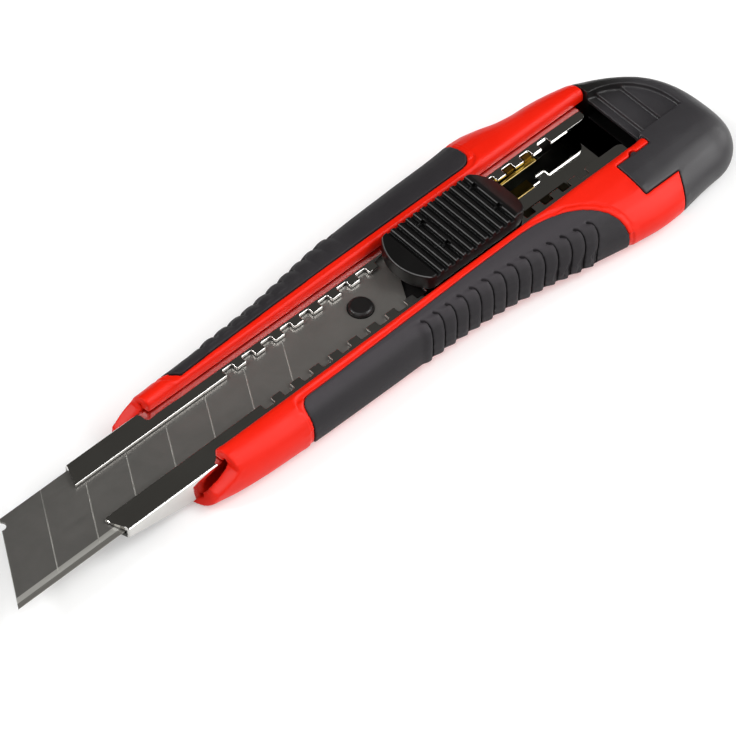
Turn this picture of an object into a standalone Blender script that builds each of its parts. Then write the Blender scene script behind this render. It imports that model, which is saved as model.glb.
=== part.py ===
"""Snap-off knife: a moulded handle with two soft grips, a plated blade channel, a scored 18 mm
blade on a sliding carrier, a thumb slider with its leaf-spring lock, and a pull-off end cap.

The pieces are drawn in the knife's own drawing frame: x runs from the blade's tip to the tail,
y runs across from the middle of the blade, and z rises from the blade's top face. Everything hangs
on one empty that sets the middle of the knife's back at the world origin. Lengths are in metres.
"""

import math

import bmesh
import bpy
from mathutils import Matrix, Vector

# Blade
BLADE_LENGTH = 0.100
BLADE_WIDTH = 0.018
BLADE_THICKNESS = 0.0005
SEGMENT_PITCH = 0.010
SEGMENT_COUNT = 8
SCORE_ANGLE = math.radians(60)
SCORE_WIDTH = 0.0004
SCORE_DEPTH = 0.00014
GRIND_WIDTH = 0.0021
EDGE_FACET_WIDTH = 0.00135
EDGE_FACET_THICKNESS = 0.00036
EDGE_THICKNESS = 0.00008
TIP_NOTCH_RADIUS = 0.0010
TIP_NOTCH_INSET = 0.0015
STUD_DIAMETER = 0.0052
STUD_BEHIND = 0.0107
STUD_HEIGHT = 0.0010
STUD_ROUND = 0.0008

# Blade channel
SHEET = 0.0008
BLADE_SIDE_GAP = 0.00025
BLADE_FACE_GAP = 0.00015
CHANNEL_FRONT = 0.0245
CHANNEL_END_GAP = 0.0020
CHANNEL_DEPTH = 0.0043
RAMP_LENGTH = 0.0165
LIP_OPENING = 0.0095
LIP_END_RADIUS = 0.0020
FOLD_RADIUS = 0.0006
NOSE_SLANT = math.radians(6)
NOSE_CHAMFER = 0.0018
TOOTH_START = 0.0639
TOOTH_PITCH = 0.005
TOOTH_GAP = 0.0025
TOOTH_DEPTH = 0.0015
SPARE_TEETH = 1

# Handle
KNIFE_LENGTH = 0.1825
HANDLE_FRONT = 0.038
RAIL_TOP = 0.0040
HANDLE_BACK = 0.0072
WIDEST_BELOW = 0.0025
RAIL_WIDTH = 0.0016
BACK_EDGE_WIDTH = 0.0055
TAIL_SHOULDER = 0.0048
SHOULDER_POWER = 2.2
BACK_POWER = 2.4
ROUND_SHARE = 0.45
SLOT_WIDTH = 0.0162
SLOT_ROUND = 0.0014
CHANNEL_FIT = 0.0002
NOSE_WALL = 0.0016
NOSE_HOLLOW = 0.018
RAKE_TOP = 0.0480
RAKE_RUN = 0.0050
RAKE_FOOT_RUN = 0.0016
RAKE_SLANT = math.radians(8.7)
TAIL_RADIUS = 0.0322
TAIL_CORNER_RADIUS = 0.0096
TAIL_END_WIDTH = 0.0039
TAIL_POWER = 1.94
TAIL_EDGE_ROUND = 0.0086
TAIL_THINNING = 0.9

# How far each side stands out past the channel, at shares of the way from the nose to the tail's round
NEAR_SWELL = (
    (0.00, 0.0020), (0.09, 0.0047), (0.20, 0.0057), (0.38, 0.0061), (0.52, 0.0063),
    (0.64, 0.0079), (0.77, 0.0115), (0.88, 0.0138), (1.00, 0.0124),
)
FAR_SWELL = (
    (0.00, 0.0023), (0.072, 0.0031), (0.185, 0.0036), (0.35, 0.0047), (0.545, 0.0078),
    (0.72, 0.0088), (0.81, 0.0090), (0.90, 0.0093), (1.00, 0.0061),
)

# Grips
GRIP_THICKNESS = 0.0020
GRIP_GAP = 0.00015
NEAR_GRIP_LEDGE = 0.0021
FAR_GRIP_LEDGE = 0.0030
GRIP_SHELF_WIDTH = 0.0011
GRIP_SHELF_DEPTH = 0.0003
NEAR_GRIP_FRONT = 0.0681
NEAR_GRIP_TAIL = 0.0170
NEAR_GRIP_MARGIN = 0.0026
NEAR_GRIP_CLOSE = 0.0017
NEAR_GRIP_END_LENGTH = 0.0185
NEAR_GRIP_END_WIDTH = 0.0120
FAR_GRIP_FRONT = 0.0515
FAR_GRIP_TAIL = 0.0290
FAR_GRIP_MARGIN = 0.0021
FAR_GRIP_FRONT_DIP = 0.0010
FAR_GRIP_TAPER = 0.0045
FAR_GRIP_END_RADIUS = 0.0030
GROOVE_DEPTH = 0.0008
GROOVE_FOOT = 0.0006
CRESCENT_COUNT = 14
CRESCENT_PITCH = 0.00319
CRESCENT_START = 0.0997
CRESCENT_WIDTH = 0.00055
CRESCENT_RADIUS = 0.0033
CRESCENT_HOOK_RADIUS = 0.0012
CRESCENT_DROP = 0.0037
CRESCENT_FOLLOW = 0.75
CRESCENT_UP = 80
CRESCENT_DOWN = -58
CRESCENT_RUN_OUT = 0.0050
SCALLOP_COUNT = 11
SCALLOP_PITCH = 0.0037
SCALLOP_START = 0.0640
SCALLOP_WIDTH = 0.0009
SCALLOP_SPREAD = 0.0022

# Carriage: blade carrier, thumb slider and lock spring
CARRIER_FRONT_REACH = 0.005
CARRIER_BEHIND = 0.0080
CARRIER_BASE = 0.0016
RUNNING_GAP = 0.00015
SEAT_WIDTH = 0.016
SPRING_THICKNESS = 0.0003
SPRING_WIDTH = 0.0128
SPRING_LIP_GAP = 0.00025
SPRING_SEAT_GAP = 0.0003
FORK_WIDTH = 0.0080
FORK_BEHIND = 0.0010
BLADE_END_GAP = 0.0007
SPRING_SEAT_LENGTH = 0.005
SPRING_END_MARGIN = 0.00045
SPRING_POST_DIAMETER = 0.0024
LOCK_TAB_LENGTH = 0.0018
LOCK_TAB_GAP = 0.0002
LOCK_TAB_PAIRS = 2
LEG_BEHIND = 0.0014
LEG_LENGTH = 0.0045
LEG_WIDTH = 0.008
LEG_DEPTH = 0.0023
LEG_FIT = 0.0003
WINDOW_FIT = 0.0008
FOOT_INSET = 0.0060
FOOT_LENGTH = 0.003
BUTTON_TRAVEL = 0.0008
SLIDER_BEHIND_STUD = 0.0093
SLIDER_LENGTH = 0.0312
SLIDER_WIDTH = 0.0146
SLIDER_TOP = 0.0057
SLIDER_NOSE_RADIUS = 0.0104
SLIDER_NOSE_CORNER = 0.0020
SLIDER_CORNER = 0.0055
SLIDER_EDGE_ROUND = 0.0004
SLIDER_SLOPE_LENGTH = 0.0045
SLIDER_SLOPE_DROP = 0.0027
RIB_INSET = 0.0054
RIB_PITCH = 0.00201
RIB_COUNT = 11
RIB_WIDTH = 0.0009
RIB_DEPTH = 0.0009
BREAK_LENGTH = 0.0021
BREAK_WIDTH = 0.0013
BREAK_DEPTH = 0.0012
BREAK_PLACES = (-0.0028, 0.0042)
BREAK_GROOVES = (3, 10)

# End cap
CAP_LENGTH = 0.0185
CAP_GAP = 0.0002
CAP_LEAN = math.radians(27)
CAP_TAB_LENGTH = 0.0092
CAP_TAB_WIDTH = 0.0082
CAP_TAB_INSET = 0.0024
CAP_TAB_DEPTH = 0.0080
CAP_RIM = 0.0062
CAP_RECESS_RADIUS = 0.0135
CAP_RECESS_SIDE = 0.0073
CAP_STEP_LENGTHS = (0.0023, 0.0047, 0.0053)
CAP_STEP_RISE = 0.00095
CAP_STEP_FALL = 0.00045
CAP_RECESS_DEPTH = 0.0019
CAP_WALL = 0.0008
CAP_POCKET_LENGTH = 0.0096
CAP_POCKET_TOP = 0.0011
CAP_POCKET_DEPTH = 0.0030
DETENT_RADIUS = 0.0009

# Materials: colour, roughness and metal share
RED_PLASTIC = ((0.80, 0.035, 0.02), 0.35, 0.0)
SOFT_RUBBER = ((0.045, 0.043, 0.046), 0.62, 0.0)
PLATED_STEEL = ((0.62, 0.62, 0.62), 0.12, 1.0)
BLADE_STEEL = ((0.12, 0.115, 0.105), 0.38, 1.0)
BLACK_PLASTIC = ((0.012, 0.012, 0.013), 0.42, 0.0)
BRASS = ((0.62, 0.42, 0.13), 0.3, 1.0)
CAP_PLASTIC = ((0.05, 0.048, 0.05), 0.42, 0.0)

# Worked-out levels and half widths
CHANNEL_INNER = BLADE_WIDTH / 2 + BLADE_SIDE_GAP
CHANNEL_OUTER = CHANNEL_INNER + SHEET
LIP_UNDER = BLADE_FACE_GAP
LIP_TOP = LIP_UNDER + SHEET
FLOOR_TOP = -CHANNEL_DEPTH
FLOOR_UNDER = FLOOR_TOP - SHEET
RAIL_EDGE = SLOT_WIDTH / 2 + RAIL_WIDTH
SPRING_TOP = LIP_UNDER - SPRING_LIP_GAP
SPRING_UNDER = SPRING_TOP - SPRING_THICKNESS
BLADE_SLANT = BLADE_WIDTH / math.tan(SCORE_ANGLE)
BLADE_REAR = BLADE_LENGTH + BLADE_SLANT
STUD_X = BLADE_LENGTH + BLADE_SLANT / 2 - STUD_BEHIND
CAP_FRONT = KNIFE_LENGTH - CAP_LENGTH
CHANNEL_REAR = CAP_FRONT - CHANNEL_END_GAP
NEAR_GRIP_REAR = CAP_FRONT - NEAR_GRIP_TAIL
FAR_GRIP_REAR = CAP_FRONT - FAR_GRIP_TAIL
SIDES_AT_TAIL = 2 * CHANNEL_OUTER + NEAR_SWELL[-1][1] + FAR_SWELL[-1][1]
TAIL_DROP = SIDES_AT_TAIL - TAIL_CORNER_RADIUS - TAIL_END_WIDTH
SLIDER_FRONT = STUD_X + SLIDER_BEHIND_STUD
SLIDER_REAR = SLIDER_FRONT + SLIDER_LENGTH
RIB_START = SLIDER_FRONT + RIB_INSET
FOOT_X = SLIDER_REAR - FOOT_INSET
CARRIER_REAR = SLIDER_REAR - CARRIER_BEHIND
LOCK_TOOTH = math.ceil((SLIDER_REAR - TOOTH_START) / TOOTH_PITCH)
LOCK_X = TOOTH_START + TOOTH_PITCH * LOCK_TOOTH + TOOTH_GAP / 2
TOOTH_COUNT = LOCK_TOOTH + LOCK_TAB_PAIRS + SPARE_TEETH
SPRING_REAR = LOCK_X + TOOTH_PITCH * (LOCK_TAB_PAIRS - 1) + LOCK_TAB_LENGTH / 2 + SPRING_END_MARGIN
SPRING_FRONT = BLADE_REAR + BLADE_END_GAP
SPRING_SEAT_REAR = SPRING_FRONT + SPRING_SEAT_LENGTH
POST_X = (SPRING_FRONT + SPRING_SEAT_REAR) / 2
LEG_FRONT = SPRING_SEAT_REAR + LEG_BEHIND
REACH = 0.05
CUT_PAST = 0.002


def clear_scene():
    """Empty the scene and return the collections for the parts and the cutters."""
    for item in list(bpy.data.objects):
        bpy.data.objects.remove(item, do_unlink=True)
    root = bpy.context.scene.collection
    parts = bpy.data.collections.new("snap_off_knife")
    tools = bpy.data.collections.new("cutters")
    root.children.link(parts)
    root.children.link(tools)
    return parts, tools


PARTS, CUTTERS = clear_scene()
KNIFE = bpy.data.objects.new("knife_frame", None)
PARTS.objects.link(KNIFE)


def as_object(name, mesh_edit, cutter=True):
    """Turn an edited mesh into an object on the knife's frame."""
    bmesh.ops.recalc_face_normals(mesh_edit, faces=mesh_edit.faces)
    mesh = bpy.data.meshes.new(name)
    mesh_edit.to_mesh(mesh)
    mesh_edit.free()
    item = bpy.data.objects.new(name, mesh)
    (CUTTERS if cutter else PARTS).objects.link(item)
    item.parent = KNIFE
    if cutter:
        item.hide_render = True
        item.display_type = "WIRE"
    return item


def block(name, x_span, y_span, z_span, cutter=True):
    """A box between two corners."""
    mesh_edit = bmesh.new()
    bmesh.ops.create_cube(mesh_edit, size=1.0)
    spans = (x_span, y_span, z_span)
    bmesh.ops.scale(mesh_edit, vec=[high - low for low, high in spans], verts=mesh_edit.verts)
    bmesh.ops.translate(mesh_edit, vec=[(high + low) / 2 for low, high in spans], verts=mesh_edit.verts)
    return as_object(name, mesh_edit, cutter)


def add_prism(mesh_edit, outline, place, depth):
    """Extrude a flat outline, placed by a function, through a depth vector."""
    face = mesh_edit.faces.new([mesh_edit.verts.new(place(*point)) for point in outline])
    grown = bmesh.ops.extrude_face_region(mesh_edit, geom=[face])["geom"]
    moved = [item for item in grown if isinstance(item, bmesh.types.BMVert)]
    bmesh.ops.translate(mesh_edit, vec=depth, verts=moved)


def plan_prism(name, outlines, z_low, z_high, cutter=True):
    """Upright prisms over outlines drawn in plan, as (x, y) points."""
    mesh_edit = bmesh.new()
    for outline in outlines:
        add_prism(mesh_edit, outline, lambda x, y: (x, y, z_low), (0, 0, z_high - z_low))
    return as_object(name, mesh_edit, cutter)


def side_prism(name, outline, y_low, y_high, cutter=True):
    """A prism across the knife over an outline drawn from the side, as (x, z) points."""
    mesh_edit = bmesh.new()
    add_prism(mesh_edit, outline, lambda x, z: (x, y_low, z), (0, y_high - y_low, 0))
    return as_object(name, mesh_edit, cutter)


def upright_cylinder(name, x, y, radius, z_low, z_high, segments=32, cutter=True):
    """A round post standing along z."""
    mesh_edit = bmesh.new()
    bmesh.ops.create_cone(
        mesh_edit, cap_ends=True, segments=segments, radius1=radius, radius2=radius, depth=z_high - z_low)
    bmesh.ops.translate(mesh_edit, vec=(x, y, (z_low + z_high) / 2), verts=mesh_edit.verts)
    return as_object(name, mesh_edit, cutter)


def combine(target, tool, operation="DIFFERENCE"):
    """Cut, join or intersect a piece with another."""
    step = target.modifiers.new(operation.lower(), "BOOLEAN")
    step.operation = operation
    step.solver = "EXACT"
    step.object = tool


def soften(target, width, segments=2, angle=math.radians(40)):
    """Round the sharp edges of a piece."""
    step = target.modifiers.new("rounded_edges", "BEVEL")
    step.width = width
    step.segments = segments
    step.limit_method = "ANGLE"
    step.angle_limit = angle


def set_origin(target, origin):
    """Move a piece's origin without moving the piece."""
    target.data.transform(Matrix.Translation(-Vector(origin)))
    target.location = origin


def finish(target, look, smooth_angle=math.radians(35)):
    """Give a piece its material and shading."""
    colour, roughness, metal = look
    material = bpy.data.materials.new(target.name)
    material.use_nodes = True
    shader = material.node_tree.nodes["Principled BSDF"]
    shader.inputs["Base Color"].default_value = (*colour, 1.0)
    shader.inputs["Roughness"].default_value = roughness
    shader.inputs["Metallic"].default_value = metal
    target.data.materials.clear()
    target.data.materials.append(material)
    target.data.shade_smooth()
    target.data.set_sharp_from_angle(angle=smooth_angle)


def curve_value(stations, at):
    """Height at one place of the smooth curve through a few (place, height) stations."""
    last = len(stations) - 1
    at = min(max(at, stations[0][0]), stations[last][0])

    def slope(index):
        before, after = stations[max(index - 1, 0)], stations[min(index + 1, last)]
        return 0.0 if index == last else (after[1] - before[1]) / (after[0] - before[0])

    index = max(i for i in range(last) if stations[i][0] <= at)
    (start, low), (end, high) = stations[index], stations[index + 1]
    run = end - start
    t = (at - start) / run
    return (
        (2 * t**3 - 3 * t**2 + 1) * low + (t**3 - 2 * t**2 + t) * run * slope(index)
        + (3 * t**2 - 2 * t**3) * high + (t**3 - t**2) * run * slope(index + 1))


def round_drop(x, length, depth, power=2.0):
    """How far the tail's round, a quarter superellipse of this length and depth, has come in at x."""
    ahead = min(max(x - KNIFE_LENGTH + length, 0.0), length) / length
    return depth * (1.0 - (1.0 - ahead**power)**(1.0 / power))


def side_edge(x, swell, tail_length, tail_drop):
    """Half width of the handle on one side of the blade's middle."""
    share = (x - HANDLE_FRONT) / (KNIFE_LENGTH - tail_length - HANDLE_FRONT)
    return CHANNEL_OUTER + curve_value(swell, share) - tail_drop


def near_edge(x):
    """Half width on the cutting edge's side."""
    corner = TAIL_CORNER_RADIUS
    return side_edge(x, NEAR_SWELL, corner, round_drop(x, corner, corner))


def far_edge(x):
    """Half width on the side of the blade's back."""
    return side_edge(x, FAR_SWELL, TAIL_RADIUS, round_drop(x, TAIL_RADIUS, TAIL_DROP, TAIL_POWER))


def quarter(width, height, power, count):
    """Points of a quarter superellipse from (0, height) to (width, 0)."""
    for index in range(count + 1):
        turn = math.pi / 2 * index / count
        yield width * math.sin(turn)**(2 / power), height * math.cos(turn)**(2 / power)


def handle_section(x, inset, count=6):
    """Ring of (y, z) points round the handle at one place along it, drawn in by an inset."""
    near, far = near_edge(x) - inset, far_edge(x) - inset
    middle = -WIDEST_BELOW
    keep = 1.0 - round_drop(x, TAIL_EDGE_ROUND, TAIL_THINNING)
    top = (RAIL_TOP - inset - middle) * keep
    back = (HANDLE_BACK - inset + middle) * keep
    widest_round = ROUND_SHARE * (near + far)
    least = TAIL_SHOULDER if x > CAP_FRONT else NOSE_WALL
    near_shoulder = min(max(near - RAIL_EDGE, least), widest_round)
    far_shoulder = min(max(far - RAIL_EDGE, least), widest_round)
    back_round = min(BACK_EDGE_WIDTH, widest_round)
    near_curve = list(quarter(near_shoulder, top, SHOULDER_POWER, count))
    far_curve = list(quarter(far_shoulder, top, SHOULDER_POWER, count))
    back_curve = list(quarter(back_round, back, BACK_POWER, count))
    ring = [(-near + near_shoulder - y, middle + z) for y, z in near_curve]
    ring += [(-near + back_round - y, middle - z) for y, z in back_curve[-2::-1]]
    ring += [(far - back_round + y, middle - z) for y, z in back_curve]
    ring += [(far - far_shoulder + y, middle + z) for y, z in far_curve[-2::-1]]
    return ring


def hull_places(with_tail, stations=30, tail_stations=16):
    """Places along the knife where the handle's sections stand."""
    tail_start = KNIFE_LENGTH - TAIL_RADIUS
    places = [HANDLE_FRONT + (tail_start - HANDLE_FRONT) * i / stations for i in range(stations + 1)]
    if with_tail:
        turns = [math.pi / 2 * (i + 1) / tail_stations for i in range(tail_stations)]
        places += [tail_start + TAIL_RADIUS * math.sin(turn) for turn in turns]
    return places


def handle_hull(name, inset=0.0, cutter=True):
    """The handle's outer form lofted through its sections; drawn in by an inset, it stops at the tail."""
    mesh_edit = bmesh.new()
    rings = []
    for x in hull_places(with_tail=not inset):
        rings.append([mesh_edit.verts.new((x, y, z)) for y, z in handle_section(x, inset)])
    for ring, following in zip(rings, rings[1:]):
        for index in range(len(ring)):
            after = (index + 1) % len(ring)
            mesh_edit.faces.new((ring[index], ring[after], following[after], following[index]))
    mesh_edit.faces.new(rings[0])
    mesh_edit.faces.new(rings[-1])
    bmesh.ops.triangulate(mesh_edit, faces=mesh_edit.faces)
    return as_object(name, mesh_edit, cutter)


def arc_points(centre, radius_x, radius_y, start, end, count):
    """Points along an arc, by angles in degrees."""
    for index in range(count + 1):
        turn = math.radians(start + (end - start) * index / count)
        yield centre[0] + radius_x * math.cos(turn), centre[1] + radius_y * math.sin(turn)


def near_grip_outline(gap):
    """Plan outline of the lower grip, drawn in by a gap."""
    front, rear = NEAR_GRIP_FRONT + gap, NEAR_GRIP_REAR - gap
    wide = -(SLOT_WIDTH / 2 + NEAR_GRIP_MARGIN + gap)
    close = -(SLOT_WIDTH / 2 + NEAR_GRIP_CLOSE + gap)
    corner = NEAR_GRIP_MARGIN
    end_centre = (NEAR_GRIP_REAR - NEAR_GRIP_END_LENGTH, close - NEAR_GRIP_END_WIDTH)
    outline = [(front, -REACH)]
    outline += arc_points((front + corner, wide - corner), corner, corner, 180, 90, 4)
    run_start, run_end = front + corner, end_centre[0]
    for index in range(1, 6):
        share = index / 6
        ease = share**2 * (3 - 2 * share)
        outline.append((run_start + (run_end - run_start) * share, wide + (close - wide) * ease))
    outline += arc_points(end_centre, rear - end_centre[0], NEAR_GRIP_END_WIDTH, 90, 0, 8)
    outline.append((rear, -REACH))
    return outline


def far_grip_outline(gap):
    """Plan outline of the upper grip, drawn in by a gap."""
    front, rear = FAR_GRIP_FRONT + gap, FAR_GRIP_REAR - gap
    inner = SLOT_WIDTH / 2 + FAR_GRIP_MARGIN + gap
    round_end = FAR_GRIP_END_RADIUS
    outline = [(front, REACH), (front, inner + FAR_GRIP_TAPER)]
    run_start, run_end = front + FAR_GRIP_TAPER, rear - round_end
    for index in range(9):
        share = index / 8
        dip = FAR_GRIP_FRONT_DIP * (1 - share)**3
        outline.append((run_start + (run_end - run_start) * share, inner - dip))
    outline += list(arc_points((run_end, inner + round_end), round_end, round_end, -90, 0, 4))[1:]
    outline.append((rear, REACH))
    return outline


def crescent_outline(x):
    """Plan outline of one crescent groove of the lower grip: a hook, a longer arc and a straight run out."""
    swell = near_edge(x) - near_edge(CRESCENT_START)
    middle = -(SLOT_WIDTH / 2 + NEAR_GRIP_CLOSE + CRESCENT_DROP) - CRESCENT_FOLLOW * swell
    turn = math.radians(CRESCENT_DOWN)
    run_out = (CRESCENT_RUN_OUT * math.sin(turn), -CRESCENT_RUN_OUT * math.cos(turn))

    def run(offset):
        hook, bow = CRESCENT_HOOK_RADIUS, CRESCENT_RADIUS
        points = list(arc_points((x - hook, middle), hook + offset, hook + offset, CRESCENT_UP, 0, 4))
        points += list(arc_points((x - bow, middle), bow + offset, bow + offset, 0, CRESCENT_DOWN, 6))[1:]
        return points + [(points[-1][0] + run_out[0], points[-1][1] + run_out[1])]

    return run(CRESCENT_WIDTH / 2) + run(-CRESCENT_WIDTH / 2)[::-1]


def scallop_outline(x):
    """Plan outline of one straight groove of the upper grip."""
    low = far_edge(x) - SCALLOP_SPREAD
    half = SCALLOP_WIDTH / 2
    return [(x - half, low), (x + half, low), (x + half, REACH), (x - half, REACH)]


def make_grip(name, outline, ledge_height, grooves):
    """One soft grip: the handle's skin inside the outline and over its ledge, with its grooves."""
    ledge = -HANDLE_BACK + ledge_height
    grip = handle_hull(name, cutter=False)
    keep = plan_prism(name + "_outline", [outline(GRIP_GAP)], ledge + GRIP_GAP, REACH)
    combine(grip, keep, "INTERSECT")
    combine(grip, handle_hull(name + "_bed", GRIP_THICKNESS - GRIP_GAP))
    groove_cutter = plan_prism(name + "_grooves", grooves, ledge + GROOVE_FOOT, REACH)
    combine(groove_cutter, handle_hull(name + "_groove_floor", GROOVE_DEPTH))
    combine(grip, groove_cutter)
    finish(grip, SOFT_RUBBER)
    return grip


def make_grips():
    """The two grips laid into the handle's sides."""
    crescents = [crescent_outline(CRESCENT_START + CRESCENT_PITCH * i) for i in range(CRESCENT_COUNT)]
    scallops = [scallop_outline(SCALLOP_START + SCALLOP_PITCH * i) for i in range(SCALLOP_COUNT)]
    make_grip("lower_grip", near_grip_outline, NEAR_GRIP_LEDGE, crescents)
    make_grip("upper_grip", far_grip_outline, FAR_GRIP_LEDGE, scallops)


def cut_grip_bed(body, name, outline, ledge_height):
    """Sink the bed of one grip into the handle, with a shallow shelf round its edge."""
    ledge = -HANDLE_BACK + ledge_height
    for depth, margin in ((GRIP_THICKNESS, 0.0), (GRIP_SHELF_DEPTH, GRIP_SHELF_WIDTH)):
        recess = plan_prism(name, [outline(-margin)], ledge - margin, REACH)
        combine(recess, handle_hull(name + "_floor", depth))
        combine(body, recess)


def slot_profile(half, top):
    """Section of the slider's slot between the rails' rounded top edges, as (y, z) points."""
    edge = SLOT_ROUND
    far_round = list(arc_points((half + edge, top - edge), edge, edge, 180, 90, 5))
    far_side = [(half, 0.0)] + far_round + [(half + edge, REACH)]
    return far_side + [(-y, z) for y, z in reversed(far_side)]


def tab_spans(gap):
    """Spans of the cap's tab, grown by a gap, as x, y and z pairs."""
    outer = -(SLOT_WIDTH / 2 + CAP_TAB_INSET)
    return (
        (CAP_FRONT - CAP_TAB_LENGTH - gap, CAP_FRONT + TAIL_CORNER_RADIUS),
        (outer - CAP_TAB_WIDTH - gap, outer + gap),
        (RAIL_TOP - CAP_TAB_DEPTH - gap, REACH))


def cap_plan(gap):
    """Plan outline of the cap behind its joint line, which leans forward outside the tab."""
    front, rear = CAP_FRONT + gap, KNIFE_LENGTH + REACH
    lean_start = -(SLOT_WIDTH / 2 + CAP_TAB_INSET + CAP_TAB_WIDTH)
    lean_front = front - (REACH + lean_start) * math.tan(CAP_LEAN)
    return [(front, REACH), (front, lean_start), (lean_front, -REACH), (rear, -REACH), (rear, REACH)]


def make_nose_rake():
    """Cutter for the nose: upright at the rails, leaning forward below them and slanted across."""
    widest = RAKE_TOP - RAKE_RUN
    foot = widest - RAKE_FOOT_RUN
    outline = [
        (-REACH, REACH), (RAKE_TOP, REACH), (RAKE_TOP, LIP_TOP), (widest, -WIDEST_BELOW),
        (foot, -HANDLE_BACK), (foot, -REACH), (-REACH, -REACH)]
    rake = side_prism("nose_rake", outline, -REACH, REACH)
    for vertex in rake.data.vertices:
        vertex.co.x -= vertex.co.y * math.tan(RAKE_SLANT)
    return rake


def make_handle_body():
    """The moulded body: nose, rails, channel bed, grip beds and the open tail for the cap."""
    body = handle_hull("handle_body", cutter=False)
    across = (-REACH, REACH)
    combine(body, plan_prism("tail_cut", [cap_plan(0.0)], -REACH, REACH))
    cut_grip_bed(body, "lower_bed", near_grip_outline, NEAR_GRIP_LEDGE)
    cut_grip_bed(body, "upper_bed", far_grip_outline, FAR_GRIP_LEDGE)
    bed_half = CHANNEL_OUTER + CHANNEL_FIT
    bed_levels = (FLOOR_UNDER - CHANNEL_FIT, LIP_TOP + CHANNEL_FIT)
    combine(body, block("channel_bed", (0, KNIFE_LENGTH), (-bed_half, bed_half), bed_levels))
    slot = bmesh.new()
    profile = slot_profile(SLOT_WIDTH / 2, RAIL_TOP)
    add_prism(slot, profile, lambda y, z: (0, y, z), (KNIFE_LENGTH, 0, 0))
    combine(body, as_object("slider_slot", slot))
    hollow = handle_hull("nose_hollow", NOSE_WALL)
    hollow_rear = HANDLE_FRONT + NOSE_HOLLOW
    combine(hollow, block("nose_hollow_end", (hollow_rear, KNIFE_LENGTH), across, across))
    middle = (-CHANNEL_OUTER, CHANNEL_OUTER)
    combine(hollow, block("nose_hollow_middle", (0, KNIFE_LENGTH), middle, across))
    combine(body, hollow)
    combine(body, make_nose_rake())
    combine(body, block("tab_pocket", *tab_spans(CAP_GAP)))
    detent_x = CAP_FRONT - CAP_TAB_LENGTH / 2
    detent_y = -(SLOT_WIDTH / 2 + CAP_TAB_INSET - CAP_GAP)
    combine(body, upright_cylinder("detent", detent_x, detent_y, DETENT_RADIUS, LIP_TOP, REACH, 16))
    finish(body, RED_PLASTIC)
    return body


def channel_side(front, rear, top, floor, nose_floor, ramp_end):
    """Side outline of the channel's outer or inner form: a box whose floor ramps up at the nose."""
    return [(front, top), (rear, top), (rear, floor), (ramp_end, floor), (front, nose_floor)]


def make_channel():
    """The folded steel channel with its toothed lips and ramped nose."""
    ramp_end = CHANNEL_FRONT + RAMP_LENGTH
    nose_floor = -BLADE_THICKNESS - BLADE_FACE_GAP
    outside = channel_side(CHANNEL_FRONT, CHANNEL_REAR, LIP_TOP, FLOOR_UNDER, nose_floor - SHEET, ramp_end)
    channel = side_prism("blade_channel", outside, -CHANNEL_OUTER, CHANNEL_OUTER, cutter=False)
    soften(channel, FOLD_RADIUS)
    slope = (FLOOR_TOP - nose_floor) / RAMP_LENGTH
    past = CUT_PAST
    inside = channel_side(
        CHANNEL_FRONT - past, CHANNEL_REAR + past, LIP_UNDER, FLOOR_TOP, nose_floor - slope * past, ramp_end)
    combine(channel, side_prism("channel_inside", inside, -CHANNEL_INNER, CHANNEL_INNER))
    half, end = LIP_OPENING / 2, LIP_END_RADIUS
    opening = [(CHANNEL_FRONT - past, -half), (CHANNEL_REAR - end, -half)]
    opening += list(arc_points((CHANNEL_REAR - end, -half - end), end, end, 90, 0, 5))[1:]
    opening += [(CHANNEL_REAR + past, -half - end), (CHANNEL_REAR + past, half + end)]
    opening += list(arc_points((CHANNEL_REAR - end, half + end), end, end, 0, -90, 5))
    opening.append((CHANNEL_FRONT - past, half))
    combine(channel, plan_prism("lip_opening", [opening], LIP_UNDER - past / 4, REACH))
    notches = []
    for index in range(TOOTH_COUNT):
        low = TOOTH_START + TOOTH_PITCH * index
        for side in (-1, 1):
            inner, outer = side * (half - TOOTH_DEPTH / 2), side * (half + TOOTH_DEPTH)
            high = low + TOOTH_GAP
            notches.append([(low, inner), (high, inner), (high, outer), (low, outer)])
    combine(channel, plan_prism("lip_notches", notches, LIP_UNDER - past / 4, REACH))
    slant = math.tan(NOSE_SLANT)
    chamfer_start = half + SHEET
    corner = NOSE_CHAMFER + slant * CHANNEL_OUTER
    near_corner, far_corner = CHANNEL_FRONT + NOSE_CHAMFER, CHANNEL_FRONT + corner
    nose = [(0, -REACH), (near_corner, -REACH), (near_corner, -CHANNEL_OUTER)]
    nose += [(CHANNEL_FRONT, -chamfer_start), (CHANNEL_FRONT + slant * 2 * half, half)]
    nose += [(far_corner, CHANNEL_OUTER), (far_corner, REACH), (0, REACH)]
    combine(channel, plan_prism("channel_nose", [nose], -REACH, REACH))
    finish(channel, PLATED_STEEL)
    return channel


def blade_front(y):
    """Where the slanted front edge of the blade lies at y."""
    return (y + BLADE_WIDTH / 2) / math.tan(SCORE_ANGLE)


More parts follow.
